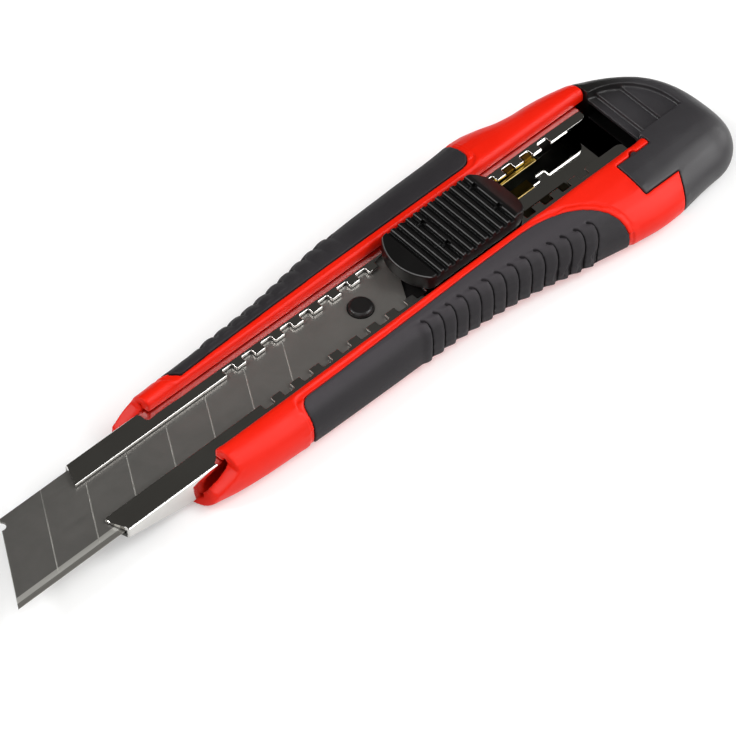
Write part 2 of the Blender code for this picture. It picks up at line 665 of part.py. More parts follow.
def make_blade():
    """The blade: a ground strip with a slanted front, score lines, a tip notch and a stud hole."""
    half, grind = BLADE_WIDTH / 2, -BLADE_WIDTH / 2 + GRIND_WIDTH
    middle, edge = -BLADE_THICKNESS / 2, EDGE_THICKNESS / 2
    facet, facet_half = -half + EDGE_FACET_WIDTH, EDGE_FACET_THICKNESS / 2
    section = [
        (-half, middle + edge), (-half, middle - edge), (facet, middle - facet_half),
        (grind, -BLADE_THICKNESS), (half, -BLADE_THICKNESS), (half, 0.0), (grind, 0.0),
        (facet, middle + facet_half)]
    mesh_edit = bmesh.new()
    add_prism(mesh_edit, section, lambda y, z: (BLADE_LENGTH, y, z), (-BLADE_LENGTH, 0, 0))
    for vertex in mesh_edit.verts:
        vertex.co.x += blade_front(vertex.co.y)
    blade = as_object("blade", mesh_edit, cutter=False)
    scores = bmesh.new()
    groove = [(-SCORE_WIDTH / 2, SCORE_DEPTH), (SCORE_WIDTH / 2, SCORE_DEPTH), (0.0, -SCORE_DEPTH)]
    start, end = -half - CUT_PAST, half + CUT_PAST
    along = (blade_front(end) - blade_front(start), end - start, 0)
    for index in range(1, SEGMENT_COUNT):
        shift = SEGMENT_PITCH * index + blade_front(start)
        add_prism(scores, [(x + shift, z) for x, z in groove], lambda x, z: (x, start, z), along)
    combine(blade, as_object("score_lines", scores))
    hole = STUD_DIAMETER / 2 + RUNNING_GAP
    combine(blade, upright_cylinder("stud_hole", STUD_X, 0, hole, -REACH, REACH))
    notch_y = half - TIP_NOTCH_INSET
    notch_x = blade_front(notch_y)
    combine(blade, upright_cylinder("tip_notch", notch_x, notch_y, TIP_NOTCH_RADIUS, -REACH, REACH, 20))
    finish(blade, BLADE_STEEL, smooth_angle=math.radians(10))
    return blade


def make_carrier():
    """The blade carrier: a plate on the channel's floor with the blade's seat, stud and slider pocket."""
    low = FLOOR_TOP + RUNNING_GAP
    plate_top = low + CARRIER_BASE
    half = CHANNEL_INNER - BLADE_SIDE_GAP
    front = STUD_X - CARRIER_FRONT_REACH
    seat = SEAT_WIDTH / 2
    root = plate_top - CARRIER_BASE / 2
    carrier = block("blade_carrier", (front, CARRIER_REAR), (-half, half), (low, plate_top), cutter=False)
    blade_seat = -BLADE_THICKNESS - RUNNING_GAP
    spring_seat = SPRING_UNDER - SPRING_SEAT_GAP
    collar_top = spring_seat - BUTTON_TRAVEL
    collar_rear = LEG_FRONT + LEG_LENGTH + CARRIER_BASE
    for name, span, top in (
            ("blade_seat", (front, BLADE_REAR), blade_seat),
            ("spring_seat", (SPRING_FRONT, SPRING_SEAT_REAR), spring_seat),
            ("leg_collar", (SPRING_SEAT_REAR - LEG_FIT, collar_rear), collar_top)):
        combine(carrier, block(name, span, (-seat, seat), (root, top)), "UNION")
    post_top = SPRING_TOP + RUNNING_GAP
    combine(carrier, upright_cylinder(
        "spring_post", POST_X, 0, SPRING_POST_DIAMETER / 2, root, post_top, 20), "UNION")
    stud = upright_cylinder("stud", STUD_X, 0, STUD_DIAMETER / 2, root, STUD_HEIGHT)
    soften(stud, STUD_ROUND, segments=4)
    combine(carrier, stud, "UNION")
    leg_half = LEG_WIDTH / 2 + LEG_FIT
    pocket_floor = -LEG_DEPTH - BUTTON_TRAVEL - LEG_FIT
    leg_span = (LEG_FRONT - LEG_FIT, LEG_FRONT + LEG_LENGTH + LEG_FIT)
    combine(carrier, block("leg_pocket", leg_span, (-leg_half, leg_half), (pocket_floor, REACH)))
    finish(carrier, BLACK_PLASTIC)
    return carrier


def make_lock_spring():
    """The brass leaf: held at its front, forked behind, with two pairs of tabs in the lips' notches."""
    half = SPRING_WIDTH / 2
    length = (SPRING_FRONT, SPRING_REAR)
    lock = block("lock_spring", length, (-half, half), (SPRING_UNDER, SPRING_TOP), cutter=False)
    lip_half = LIP_OPENING / 2
    levels = (SPRING_TOP - SPRING_THICKNESS / 2, LIP_TOP - LOCK_TAB_GAP)
    for index in range(LOCK_TAB_PAIRS):
        gap_middle = LOCK_X + TOOTH_PITCH * index
        span = (gap_middle - LOCK_TAB_LENGTH / 2, gap_middle + LOCK_TAB_LENGTH / 2)
        inner, outer = lip_half + LOCK_TAB_GAP, lip_half + TOOTH_DEPTH - LOCK_TAB_GAP
        for side in ((-outer, -inner), (inner, outer)):
            combine(lock, block("lock_tab", span, side, levels), "UNION")
    window = LEG_WIDTH / 2 + WINDOW_FIT
    through = (-REACH, REACH)
    leg_span = (LEG_FRONT - WINDOW_FIT, LEG_FRONT + LEG_LENGTH + WINDOW_FIT)
    combine(lock, block("leg_window", leg_span, (-window, window), through))
    fork = FORK_WIDTH / 2
    fork_front = FOOT_X + FOOT_LENGTH / 2 + FORK_BEHIND
    combine(lock, block("fork_gap", (fork_front, SPRING_REAR + CUT_PAST), (-fork, fork), through))
    post_hole = SPRING_POST_DIAMETER / 2 + RUNNING_GAP
    combine(lock, upright_cylinder("post_hole", POST_X, 0, post_hole, -REACH, REACH, 20))
    set_origin(lock, (SPRING_FRONT, 0, SPRING_UNDER))
    finish(lock, BRASS)
    return lock


def slider_outline():
    """Plan outline of the thumb slider: a bowed front, with rounded corners all round."""
    half, corner, nose, nose_corner = SLIDER_WIDTH / 2, SLIDER_CORNER, SLIDER_NOSE_RADIUS, SLIDER_NOSE_CORNER
    sweep = math.degrees(math.asin((half - nose_corner) / (nose - nose_corner)))
    nose_middle = (SLIDER_FRONT + nose, 0)
    corner_x = nose_middle[0] - math.sqrt((nose - nose_corner)**2 - (half - nose_corner)**2)
    outline = list(arc_points(nose_middle, nose, nose, 180 - sweep, 180 + sweep, 12))
    near_turn = list(arc_points(
        (corner_x, -half + nose_corner), nose_corner, nose_corner, 180 + sweep, 270, 4))[1:]
    outline += near_turn
    outline += arc_points((SLIDER_REAR - corner, -half + corner), corner, corner, -90, 0, 6)
    outline += arc_points((SLIDER_REAR - corner, half - corner), corner, corner, 0, 90, 6)
    return outline + [(x, -y) for x, y in reversed(near_turn)]


def make_slider():
    """The thumb slider: a ribbed pad with a leg in the carrier and a foot on the lock spring."""
    base = LIP_TOP + BUTTON_TRAVEL + RUNNING_GAP
    slider = plan_prism("thumb_slider", [slider_outline()], base, SLIDER_TOP, cutter=False)
    slope_start = SLIDER_REAR - SLIDER_SLOPE_LENGTH
    slope_end = SLIDER_TOP - SLIDER_SLOPE_DROP
    over = SLIDER_SLOPE_LENGTH
    slope = [
        (slope_start, SLIDER_TOP), (SLIDER_REAR + over, slope_end - SLIDER_SLOPE_DROP),
        (SLIDER_REAR + over, REACH), (slope_start, REACH)]
    combine(slider, side_prism("slider_slope", slope, -REACH, REACH))
    soften(slider, SLIDER_EDGE_ROUND)
    root = base + RIB_DEPTH
    leg_half = LEG_WIDTH / 2
    leg_span = (LEG_FRONT, LEG_FRONT + LEG_LENGTH)
    foot_span = (FOOT_X - FOOT_LENGTH / 2, FOOT_X + FOOT_LENGTH / 2)
    foot_under = SPRING_TOP + RUNNING_GAP
    combine(slider, block("slider_leg", leg_span, (-leg_half, leg_half), (-LEG_DEPTH, root)), "UNION")
    combine(slider, block("slider_foot", foot_span, (-leg_half, leg_half), (foot_under, root)), "UNION")
    groove_width = RIB_PITCH - RIB_WIDTH
    breaks = bmesh.new()
    for index in BREAK_GROOVES:
        middle = RIB_START + RIB_PITCH * index - groove_width / 2
        low, high = middle - BREAK_LENGTH / 2, middle + BREAK_LENGTH / 2
        for place in BREAK_PLACES:
            near, far = place - BREAK_WIDTH / 2, place + BREAK_WIDTH / 2
            add_prism(
                breaks, [(low, near), (high, near), (high, far), (low, far)],
                lambda x, y: (x, y, SLIDER_TOP - BREAK_DEPTH), (0, 0, REACH))
    combine(slider, as_object("rib_breaks", breaks))
    grooves = bmesh.new()
    half = SLIDER_WIDTH / 2 + CUT_PAST
    for index in range(RIB_COUNT):
        high = RIB_START + RIB_PITCH * index
        low = high - groove_width
        add_prism(
            grooves, [(low, -half), (high, -half), (high, half), (low, half)],
            lambda x, y: (x, y, SLIDER_TOP - RIB_DEPTH), (0, 0, REACH))
    combine(slider, as_object("rib_grooves", grooves))
    finish(slider, BLACK_PLASTIC)
    return slider


def cap_steps():
    """Side outline above the recess's three sloped steps, as (x, z) points."""
    start = CAP_FRONT - CAP_RIM
    low = RAIL_TOP - CAP_RECESS_DEPTH
    outline = [(start, REACH), (start, low)]
    step_front = CAP_FRONT
    for index, length in enumerate(CAP_STEP_LENGTHS):
        nosing = low + (CAP_STEP_RISE - CAP_STEP_FALL) * index
        outline.append((step_front, nosing))
        step_front += length
        outline.append((step_front, nosing - CAP_STEP_FALL))
    outline.append((step_front, REACH))
    return outline


def pocket_plan():
    """Plan outline of the cap's pocket, kept a wall's thickness inside the tail's round."""
    half, rear = SPRING_WIDTH / 2 + LEG_FIT, CAP_FRONT + CAP_POCKET_LENGTH
    places = [CAP_FRONT + CAP_POCKET_LENGTH * i / 4 for i in range(5)]
    far_side = [(x, min(half, far_edge(x) - CAP_WALL)) for x in places]
    return [(0.0, half)] + far_side + [(rear, -half), (0.0, -half)]


def make_end_cap():
    """The end cap: the handle's round tail with a tab, a stepped recess and a pocket for the spring."""
    cap = handle_hull("end_cap", cutter=False)
    keep = plan_prism("cap_keep", [cap_plan(CAP_GAP)], -REACH, REACH)
    combine(keep, block("cap_tab", *tab_spans(0.0)), "UNION")
    combine(cap, keep, "INTERSECT")
    middle_x = KNIFE_LENGTH - CAP_RIM - CAP_RECESS_RADIUS
    middle_y = far_edge(CAP_FRONT) - CAP_RIM - CAP_RECESS_RADIUS
    recess = side_prism("cap_recess", cap_steps(), -CAP_RECESS_SIDE, REACH)
    rim = upright_cylinder("cap_rim", middle_x, middle_y, CAP_RECESS_RADIUS, -REACH, REACH, segments=64)
    combine(recess, rim, "INTERSECT")
    combine(cap, recess)
    combine(cap, plan_prism("cap_pocket", [pocket_plan()], -CAP_POCKET_DEPTH, CAP_POCKET_TOP))
    finish(cap, CAP_PLASTIC)
    return cap


def place_on_origin():
    """Set the middle of the knife's back at the world origin."""
    places = hull_places(with_tail=True)
    near, far = max(map(near_edge, places)), max(map(far_edge, places))
    KNIFE.location = (-KNIFE_LENGTH / 2, (near - far) / 2, HANDLE_BACK)


make_handle_body()
make_grips()
make_channel()
make_blade()
make_carrier()
make_lock_spring()
make_slider()
make_end_cap()
place_on_origin()
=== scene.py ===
"""Finish of the snap-off knife: softened copies of its pieces, their materials, the studio floor, the lamps
and the camera. Lengths are in metres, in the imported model's frame: x runs from the blade's tip to the tail,
y from the cutting edge to the blade's back, and z up out of the slider's face.
"""

import math

import bpy
import numpy as np
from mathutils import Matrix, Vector
from mathutils.bvhtree import BVHTree


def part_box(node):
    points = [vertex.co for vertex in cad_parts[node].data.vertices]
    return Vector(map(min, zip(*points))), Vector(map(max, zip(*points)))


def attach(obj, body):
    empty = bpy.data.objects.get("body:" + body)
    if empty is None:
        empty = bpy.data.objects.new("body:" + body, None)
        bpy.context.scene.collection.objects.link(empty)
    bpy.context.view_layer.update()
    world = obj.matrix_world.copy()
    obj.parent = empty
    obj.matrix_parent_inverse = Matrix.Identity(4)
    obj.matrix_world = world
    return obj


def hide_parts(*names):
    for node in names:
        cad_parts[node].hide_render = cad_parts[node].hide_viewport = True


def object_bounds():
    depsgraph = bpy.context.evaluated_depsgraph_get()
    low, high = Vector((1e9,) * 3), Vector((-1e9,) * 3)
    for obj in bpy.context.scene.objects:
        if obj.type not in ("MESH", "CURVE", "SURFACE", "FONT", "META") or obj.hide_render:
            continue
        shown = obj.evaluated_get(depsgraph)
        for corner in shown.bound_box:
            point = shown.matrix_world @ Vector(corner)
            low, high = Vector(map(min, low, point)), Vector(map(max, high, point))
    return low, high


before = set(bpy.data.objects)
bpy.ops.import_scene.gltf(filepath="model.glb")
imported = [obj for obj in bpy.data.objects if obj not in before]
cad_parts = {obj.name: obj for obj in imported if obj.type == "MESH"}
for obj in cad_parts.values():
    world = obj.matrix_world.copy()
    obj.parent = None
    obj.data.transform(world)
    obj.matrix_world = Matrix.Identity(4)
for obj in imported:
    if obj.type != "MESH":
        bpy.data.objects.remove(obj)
cad_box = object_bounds()

# Places taken from the frame; walls are measured out from the knife's middle line
BLADE_LOW, BLADE_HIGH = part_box("blade")
CHANNEL_LOW, CHANNEL_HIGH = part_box("blade_channel")
SLIDER_LOW, SLIDER_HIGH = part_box("thumb_slider")
HANDLE_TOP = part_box("handle_body")[1].z
TIP_X = BLADE_LOW.x
EDGE_Y = BLADE_LOW.y
BLADE_TOP = BLADE_HIGH.z
MIDDLE_Y = (BLADE_LOW.y + BLADE_HIGH.y) / 2
SHEET = 0.0008
LIP_TOP = CHANNEL_HIGH.z
LIP_UNDER = LIP_TOP - SHEET
FLOOR_TOP = CHANNEL_LOW.z + SHEET
OUTER_WALL = CHANNEL_HIGH.y - MIDDLE_Y
INNER_WALL = OUTER_WALL - SHEET
CHANNEL_REAR = CHANNEL_HIGH.x

# Blade: score lines, a ground strip and an edge bevel, with distances from the cutting edge
SCORE_ANGLE = math.radians(60)
SCORE_PITCH = 0.010
SCORE_LINE = 0.00020
SCORE_CORE = SCORE_LINE / 3
LAST_SCORE = 0.075
LAST_SCORE_FADE = SCORE_PITCH / 4
SCORE_BACK_MARGIN = 0.0005
SCORE_FULL_BESIDE_STRIP = 0.006
SCORE_FAINTEST = 0.35
EDGE_BEVEL = 0.00095
GRIND_STRIP = 0.0020
STRIP_FADE = SCORE_LINE / 2
BLADE_PATCH_SHARE = 0.3
BLADE_METAL = 0.75
BLADE_GLOSS = (0.30, 0.42)
BLADE_LINE_RANGE = (0.2, 0.8)
BLADE_FRONT_COLOUR = (0.205, 0.199, 0.188)
BLADE_REAR_COLOUR = (0.310, 0.297, 0.280)
BEVEL_COLOUR = (0.27, 0.26, 0.24)
STRIP_COLOUR = (0.66, 0.65, 0.61)
SCORE_COLOUR = (0.60, 0.59, 0.56)

# Scales of the lower grip, as places along the knife from the blade's tip
SCALE_START = 0.0997
SCALE_PITCH = 0.00319
SCALE_COUNT = 14
SCALES_READ_BEFORE = 3
SCALES_READ_AFTER = 2
SCALE_HOOK_RADIUS = 0.0012
SCALE_BOW_RADIUS = 0.0033
SCALE_MIDDLE = 0.0135
SCALE_FOLLOW = 0.75
SCALE_RISE = 0.00042

# Shares of a scale's pitch, of its hook's radius and of a normal
SCALE_SLOPE = 0.85
SCALE_DROP = 0.12
SCALE_LEAD_IN = 0.6
SCALE_RUN_OUT = 0.3
SCALE_HEAD = 1.1
SCALE_UPWARD = 0.5
SCALE_FACING = 0.3

# Bumps of the upper grip between its grooves
BUMP_START = 0.0640
BUMP_PITCH = 0.0037
BUMP_COUNT = 11
BUMP_RISE = 0.00035
BUMP_FACING = 0.5

# Ribs and front pad of the slider, from its front end, and the painted highlight lines along them
RIB_INSET = 0.0054
RIB_PITCH = 0.00201
RIB_COUNT = 11
LAST_RIB = RIB_INSET + RIB_PITCH * (RIB_COUNT - 1)
RIB_MARGIN = 0.0006
RIB_FADE = 0.0002
PAD_RADIUS = 0.0104
PAD_EDGE = 0.00022
PAD_MARGIN = 0.0010
PAD_FADE = 0.0006
PALE_LINE = 0.00012
PALE_SHIFT = 0.00008
PALE_DEPTH = 0.00028
PALE_DEPTH_FADE = 0.00010

# Painted shade in the slider's grooves, in from its top, sides and ends
GROOVE_TOP = 0.00030
GROOVE_SIDE = 0.00030
GROOVE_FADE = 0.00030
GROOVE_FRONT = 0.0035
GROOVE_FRONT_FADE = 0.0007
GROOVE_REAR = 0.0040
GROOVE_REAR_FADE = 0.0006

# Painted shade in the cap's hollow and on its far side
HOLLOW_LENGTH = 0.0105
HOLLOW_LENGTH_FADE = 0.0005
HOLLOW_MARGIN = 0.0003
HOLLOW_TOP_MARGIN = 0.0001
CAP_DARK_START = 0.0015
CAP_DARK_FADE = 0.0070

# Painted light on the top of the lower grip
GRIP_PALE_DEPTH = 0.0022
GRIP_PALE_FADE = 0.0018
GRIP_PALE_SPREAD = 0.0050

# Painted sheen on the far rail's inner wall, about the channel's outer wall and the lip's top
RAIL_OUT = 0.0007
RAIL_OUT_FADE = 0.0003
RAIL_IN = 0.0010
RAIL_IN_FADE = 0.0002
RAIL_HIGH = 0.0014
RAIL_HIGH_FADE = 0.0003
RAIL_LOW = 0.0001
RAIL_LOW_FADE = 0.0002
RAIL_START = 0.0485
RAIL_START_FADE = 0.0010
RAIL_FAINT_PLACE = 0.0490
RAIL_FULL_PLACE = 0.1500
RAIL_FAINTEST = 0.35

# Painted shade, with a rougher finish, inside the channel and on the near half of the leaf
DULL_OUT = 0.00030
DULL_HIGH = 0.00025
DULL_LOW = 0.00005
DULL_FADE = 0.00010
LEAF_FADE = 0.0008

# Shared finishes
GRAIN_DETAIL = 4.0
GRAIN_CELLS = 0.4
GRAIN_PEAKS = (0.45, 0.7)
GRAIN_ROUGHENS = 0.04
PATCH_RANGE = (0.3, 0.7)
SMUDGE_SHADE = 0.9

# Softening of mouldings
MOULDING_VOXEL = 0.00020
MOST_TRIANGLES = 190000
SMOOTHING = 0.5
LEAST_SHARE = 0.01
HANDLE_ROUNDS = 4
GRIP_ROUNDS = 3
CAP_ROUNDS = 3
PANEL_BEND = math.radians(13)
PANEL_MARGIN = 4
PANEL_ROUNDS = 120

# Nose of the body: its hollow's thick rim and its soft edges, ending at places from the blade's tip
NOSE_THICKEN = 0.0014
NOSE_FACING = 0.6
NOSE_CLEAR = 0.0006
NOSE_THICK_END = 0.0560
NOSE_THICK_FADE = 0.0060
NOSE_SOFT_END = 0.0500
NOSE_SOFT_FADE = 0.0030
NOSE_ROUNDS = 12

# Bead on the body round both grips
BEAD_WIDTH = 0.0014
BEAD_RISE = 0.00028
BEAD_FACING = 0.25
BEAD_CLEAR = 0.0009
BEAD_FULLNESS = 0.7

# Merging, rounding and shading of copies
MERGE_GAP = 0.00002
FLAT_ANGLE = math.radians(0.3)
ROUND_ANGLE = math.radians(32)
SHARP_ANGLE = math.radians(40)
FLAT_FACE_WEIGHT = 60
FOLD_ZONE = 0.00063
FOLD_WIDEN = 1.8
FOLD_REACH = FOLD_ZONE * FOLD_WIDEN
FOLD_ROUND = 0.00055
LIP_ROUND = 0.00036
LIP_REACH = 0.0075
CHANNEL_ROUND = 0.00010
BLADE_ROUND = 0.00003
LEAF_ROUND = 0.00007
CARRIER_ROUND = 0.00012
SLIDER_ROUND = 0.00012

# Cap's sill behind the channel, and the nub in the handle's detent
SILL_GAP = 0.00015
SILL_OVERLAP = 0.0004
SILL_HALF = 0.0091
SILL_DROP = 0.00017
SILL_ROUND = 0.00018
NUB_SIDES = 40
NUB_RADIUS = 0.00078
NUB_AHEAD_OF_WALL = 0.0046
NUB_SIDE = 0.0106
NUB_HEIGHT = 0.0040
NUB_ROUND = 0.00022

# Camera, fitted to the score lines, the lips' teeth and the outline
CAMERA_PLACE = (TIP_X - 0.227954, EDGE_Y - 0.335284, BLADE_TOP + 0.592820)
CAMERA_TURN = (37.624, -0.2461, -42.9904)
CAMERA_LENS = 189.52
SENSOR_WIDTH = 36.0

# Studio
FLOOR_SIZE = 6.0
FLOOR_GREY = (0.80, 0.80, 0.80, 1.0)
FLOOR_ROUGHNESS = 0.9
FLOOR_GLOW = 0.25
WHITE = (1.0, 1.0, 1.0, 1.0)
ROOM_COLOUR = (1.0, 0.97, 0.90, 1.0)
ROOM_PALE = 0.24
ROOM_DARK = 0.064
ROOM_TURN = (-0.1, 0.7)
LIP_MIRROR = Vector((0.42, 0.44, 0.79)).normalized()
HORIZON_HEIGHT = 0.16
HORIZON_SHARE = 0.15
LAMP_DISTANCE = 1.5

# The Mix node's colour sockets, by number because their names repeat
MIX_FIRST, MIX_SECOND, MIX_RESULT = 6, 7, 2


def select_only(piece):
    """Make one piece the only selected and the active one."""
    bpy.ops.object.select_all(action="DESELECT")
    piece.select_set(True)
    bpy.context.view_layer.objects.active = piece


def apply_modifier(piece, kind, **settings):
    """Add a modifier with its settings and apply it."""
    select_only(piece)
    step = piece.modifiers.new(kind.lower(), kind)
    for name, value in settings.items():
        setattr(step, name, value)
    bpy.ops.object.modifier_apply(modifier=step.name)


def merged_copy(node, name):
    """A new object with a node's mesh, its loose triangles merged and its flat faces joined."""
    piece = bpy.data.objects.new(name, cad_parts[node].data.copy())
    bpy.context.scene.collection.objects.link(piece)
    piece.data.materials.clear()
    select_only(piece)
    bpy.ops.mesh.customdata_custom_splitnormals_clear()
    bpy.ops.object.mode_set(mode="EDIT")
    bpy.ops.mesh.select_all(action="SELECT")
    bpy.ops.mesh.remove_doubles(threshold=MERGE_GAP)
    bpy.ops.mesh.dissolve_degenerate(threshold=MERGE_GAP / 2)
    bpy.ops.mesh.dissolve_limited(angle_limit=FLAT_ANGLE)
    bpy.ops.object.mode_set(mode="OBJECT")
    return piece


def mesh_points(piece):
    """The points of a piece's mesh as rows of x, y and z."""
    points = np.empty(len(piece.data.vertices) * 3)
    piece.data.vertices.foreach_get("co", points)
    return points.reshape(-1, 3)


def mesh_normals(piece):
    """The normals at the points of a piece's mesh."""
    normals = np.empty(len(piece.data.vertices) * 3)
    piece.data.vertices.foreach_get("normal", normals)
    return normals.reshape(-1, 3)


def move_points(piece, points):
    """Give the points of a piece's mesh new places."""
    piece.data.vertices.foreach_set("co", points.ravel())
    piece.data.update()


def ease(value):
    """A smooth step of numbers held between 0 and 1."""
    held = np.clip(value, 0.0, 1.0)
    return held * held * (3.0 - 2.0 * held)


def smooth_shade(piece):
    """Shade a piece smoothly between its sharp edges, with its flat faces kept flat."""
    select_only(piece)
    bpy.ops.object.shade_smooth_by_angle(angle=SHARP_ANGLE)
    apply_modifier(piece, "WEIGHTED_NORMAL", keep_sharp=True, weight=FLAT_FACE_WEIGHT)


def round_edges(piece, width, segments=3):
    """Round all the sharp edges of a piece."""
    apply_modifier(
        piece, "BEVEL", width=width, segments=segments, limit_method="ANGLE", angle_limit=ROUND_ANGLE,
        use_clamp_overlap=True, miter_outer="MITER_ARC", harden_normals=False)
    smooth_shade(piece)


def round_some_edges(piece, width, segments, inside):
    """Round the sharp edges of a piece whose two ends lie where inside(points) holds."""
    select_only(piece)
    bpy.ops.object.mode_set(mode="EDIT")
    bpy.ops.mesh.select_mode(type="EDGE")
    bpy.ops.mesh.select_all(action="DESELECT")
    bpy.ops.mesh.edges_select_sharp(sharpness=SHARP_ANGLE)
    bpy.ops.object.mode_set(mode="OBJECT")
    held = inside(mesh_points(piece))
    for edge in piece.data.edges:
        first, second = edge.vertices
        edge.select = edge.select and bool(held[first]) and bool(held[second])
    bpy.ops.object.mode_set(mode="EDIT")
    bpy.ops.mesh.bevel(
        offset=width, segments=segments, affect="EDGES", clamp_overlap=True, miter_outer="ARC")
    bpy.ops.object.mode_set(mode="OBJECT")


def soften_zone(piece, shares, rounds):
    """Smooth a piece further where its shares, one for each point, are above zero."""
    group = piece.vertex_groups.new(name="soft_zone")
    for index in np.flatnonzero(shares > LEAST_SHARE):
        group.add([int(index)], float(shares[index]), "REPLACE")
    apply_modifier(piece, "SMOOTH", factor=SMOOTHING, iterations=rounds, vertex_group=group.name)
    piece.vertex_groups.clear()


def smooth_panels(piece):
    """Even out the flat facets between a moulding's edges and leave the edges as they are."""
    ends = np.empty(len(piece.data.edges) * 2, dtype=np.int32)
    piece.data.edges.foreach_get("vertices", ends)
    first, second = ends.reshape(-1, 2).T
    normals = mesh_normals(piece)
    sharp = np.einsum("ij,ij->i", normals[first], normals[second]) < math.cos(PANEL_BEND)
    edge_zone = np.zeros(len(normals))
    edge_zone[first[sharp]] = 1.0
    edge_zone[second[sharp]] = 1.0
    for _ in range(PANEL_MARGIN):
        spread = edge_zone.copy()
        np.maximum.at(spread, first, edge_zone[second])
        np.maximum.at(spread, second, edge_zone[first])
        edge_zone = spread
    soften_zone(piece, 1.0 - edge_zone, PANEL_ROUNDS)


def soft_moulding(node, name, rounds):
    """A copy of a node as an even, soft-edged moulding with smooth panels."""
    piece = merged_copy(node, name)
    apply_modifier(piece, "REMESH", mode="VOXEL", voxel_size=MOULDING_VOXEL, use_smooth_shade=True)
    apply_modifier(piece, "SMOOTH", factor=SMOOTHING, iterations=rounds)
    smooth_panels(piece)
    return piece


def thin_out(piece):
    """Bring a dense piece under the most triangles that a piece may have."""
    triangles = sum(len(face.vertices) - 2 for face in piece.data.polygons)
    if triangles > MOST_TRIANGLES:
        apply_modifier(piece, "DECIMATE", ratio=MOST_TRIANGLES / triangles)


def put_on(piece, body, material):
    """Give a piece its material and put it on its body."""
    piece.data.materials.clear()
    piece.data.materials.append(material)
    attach(piece, body)


def hand_over(piece, node, body, material):
    """Put a piece on its body in place of its node."""
    put_on(piece, body, material)
    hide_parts(node)


def new_material(name):
    """A material, its node tree and its Principled shader."""
    material = bpy.data.materials.new(name)
    material.use_nodes = True
    tree = material.node_tree
    return material, tree, tree.nodes["Principled BSDF"]


def add_node(tree, kind, values=(), **settings):
    """Add a node, set its properties, and set or link its inputs by name or number."""
    made = tree.nodes.new(kind)
    for name, value in settings.items():
        setattr(made, name, value)
    for key, value in dict(values).items():
        if isinstance(value, bpy.types.NodeSocket):
            tree.links.new(value, made.inputs[key])
        else:
            made.inputs[key].default_value = value
    return made


def math_node(tree, operation, first, second=0.0, third=0.0):
    """The result of one sum on numbers or sockets."""
    made = add_node(tree, "ShaderNodeMath", {0: first, 1: second, 2: third}, operation=operation)
    return made.outputs[0]


def blend_colours(tree, share, first, second):
    """A colour between two, by a share. Each is a socket, or its red, green and blue."""
    ends = [end if isinstance(end, bpy.types.NodeSocket) else (*end, 1.0) for end in (first, second)]
    made = add_node(
        tree, "ShaderNodeMix", {"Factor": share, MIX_FIRST: ends[0], MIX_SECOND: ends[1]}, data_type="RGBA")
    return made.outputs[MIX_RESULT]


def between(tree, value, low, high, to_low=0.0, to_high=1.0):
    """A smooth step of a value from one level to another."""
    made = add_node(
        tree, "ShaderNodeMapRange",
        {"Value": value, "From Min": low, "From Max": high, "To Min": to_low, "To Max": to_high},
        interpolation_type="SMOOTHSTEP")
    return made.outputs["Result"]


def beyond(tree, value, start, fade):
    """A mask that comes in from its start over a fade."""
    return between(tree, value, start, start + fade)


def short_of(tree, value, end, fade):
    """A mask that goes out over a fade before its end."""
    return between(tree, value, end, end - fade)


def overlap(tree, *masks):
    """The share that some masks have in common."""
    result = masks[0]
    for mask in masks[1:]:
        result = math_node(tree, "MULTIPLY", result, mask)
    return result


def add_bump(tree, shader, height, strength, distance):
    """Give a shader a bump from a height."""
    bump = add_node(
        tree, "ShaderNodeBump", {"Height": height, "Strength": strength, "Distance": distance})
    tree.links.new(bump.outputs["Normal"], shader.inputs["Normal"])


def own_place(tree):
    """A place on a piece, in the knife's frame."""
    return add_node(tree, "ShaderNodeTexCoord").outputs["Object"]


def place_axes(tree):
    """The three coordinates of a place on a piece."""
    return add_node(tree, "ShaderNodeSeparateXYZ", {0: own_place(tree)}).outputs


def from_middle(tree, axes):
    """How far a place lies from the knife's middle line, to either side."""
    return math_node(tree, "ABSOLUTE", math_node(tree, "SUBTRACT", axes["Y"], MIDDLE_Y))


def new_group(name, inputs, outputs):
    """A shader node group with number inputs and outputs, and its two end nodes."""
    tree = bpy.data.node_groups.new(name, "ShaderNodeTree")
    for label, start in inputs:
        socket = tree.interface.new_socket(label, in_out="INPUT", socket_type="NodeSocketFloat")
        socket.default_value = start
    for label in outputs:
        tree.interface.new_socket(label, in_out="OUTPUT", socket_type="NodeSocketFloat")
    return tree, tree.nodes.new("NodeGroupInput"), tree.nodes.new("NodeGroupOutput")


def make_moulding_grain():
    """Fine grain of a mould, as a height and a mask of its peaks."""
    tree, start, end = new_group("moulding_grain", [("Scale", 3000.0)], ["Height", "Peaks"])
    place = own_place(tree)
    scale = start.outputs["Scale"]
    fine = add_node(
        tree, "ShaderNodeTexNoise", {"Vector": place, "Scale": scale, "Detail": GRAIN_DETAIL}).outputs["Fac"]
    cells = add_node(tree, "ShaderNodeTexVoronoi", {"Vector": place, "Scale": scale}).outputs["Distance"]
    height = math_node(tree, "MULTIPLY_ADD", cells, GRAIN_CELLS, fine)
    tree.links.new(height, end.inputs["Height"])
    tree.links.new(between(tree, fine, *GRAIN_PEAKS), end.inputs["Peaks"])
    return tree


def make_handling_marks():
    """Broad, uneven patches, as handling leaves them, from 0 to 1."""
    tree, start, end = new_group("handling_marks", [("Scale", 60.0)], ["Patches"])
    broad = add_node(
        tree, "ShaderNodeTexNoise",
        {"Vector": own_place(tree), "Scale": start.outputs["Scale"], "Detail": 5.0, "Roughness": 0.6,
         "Distortion": 0.4})
    tree.links.new(between(tree, broad.outputs["Fac"], *PATCH_RANGE), end.inputs["Patches"])
    return tree


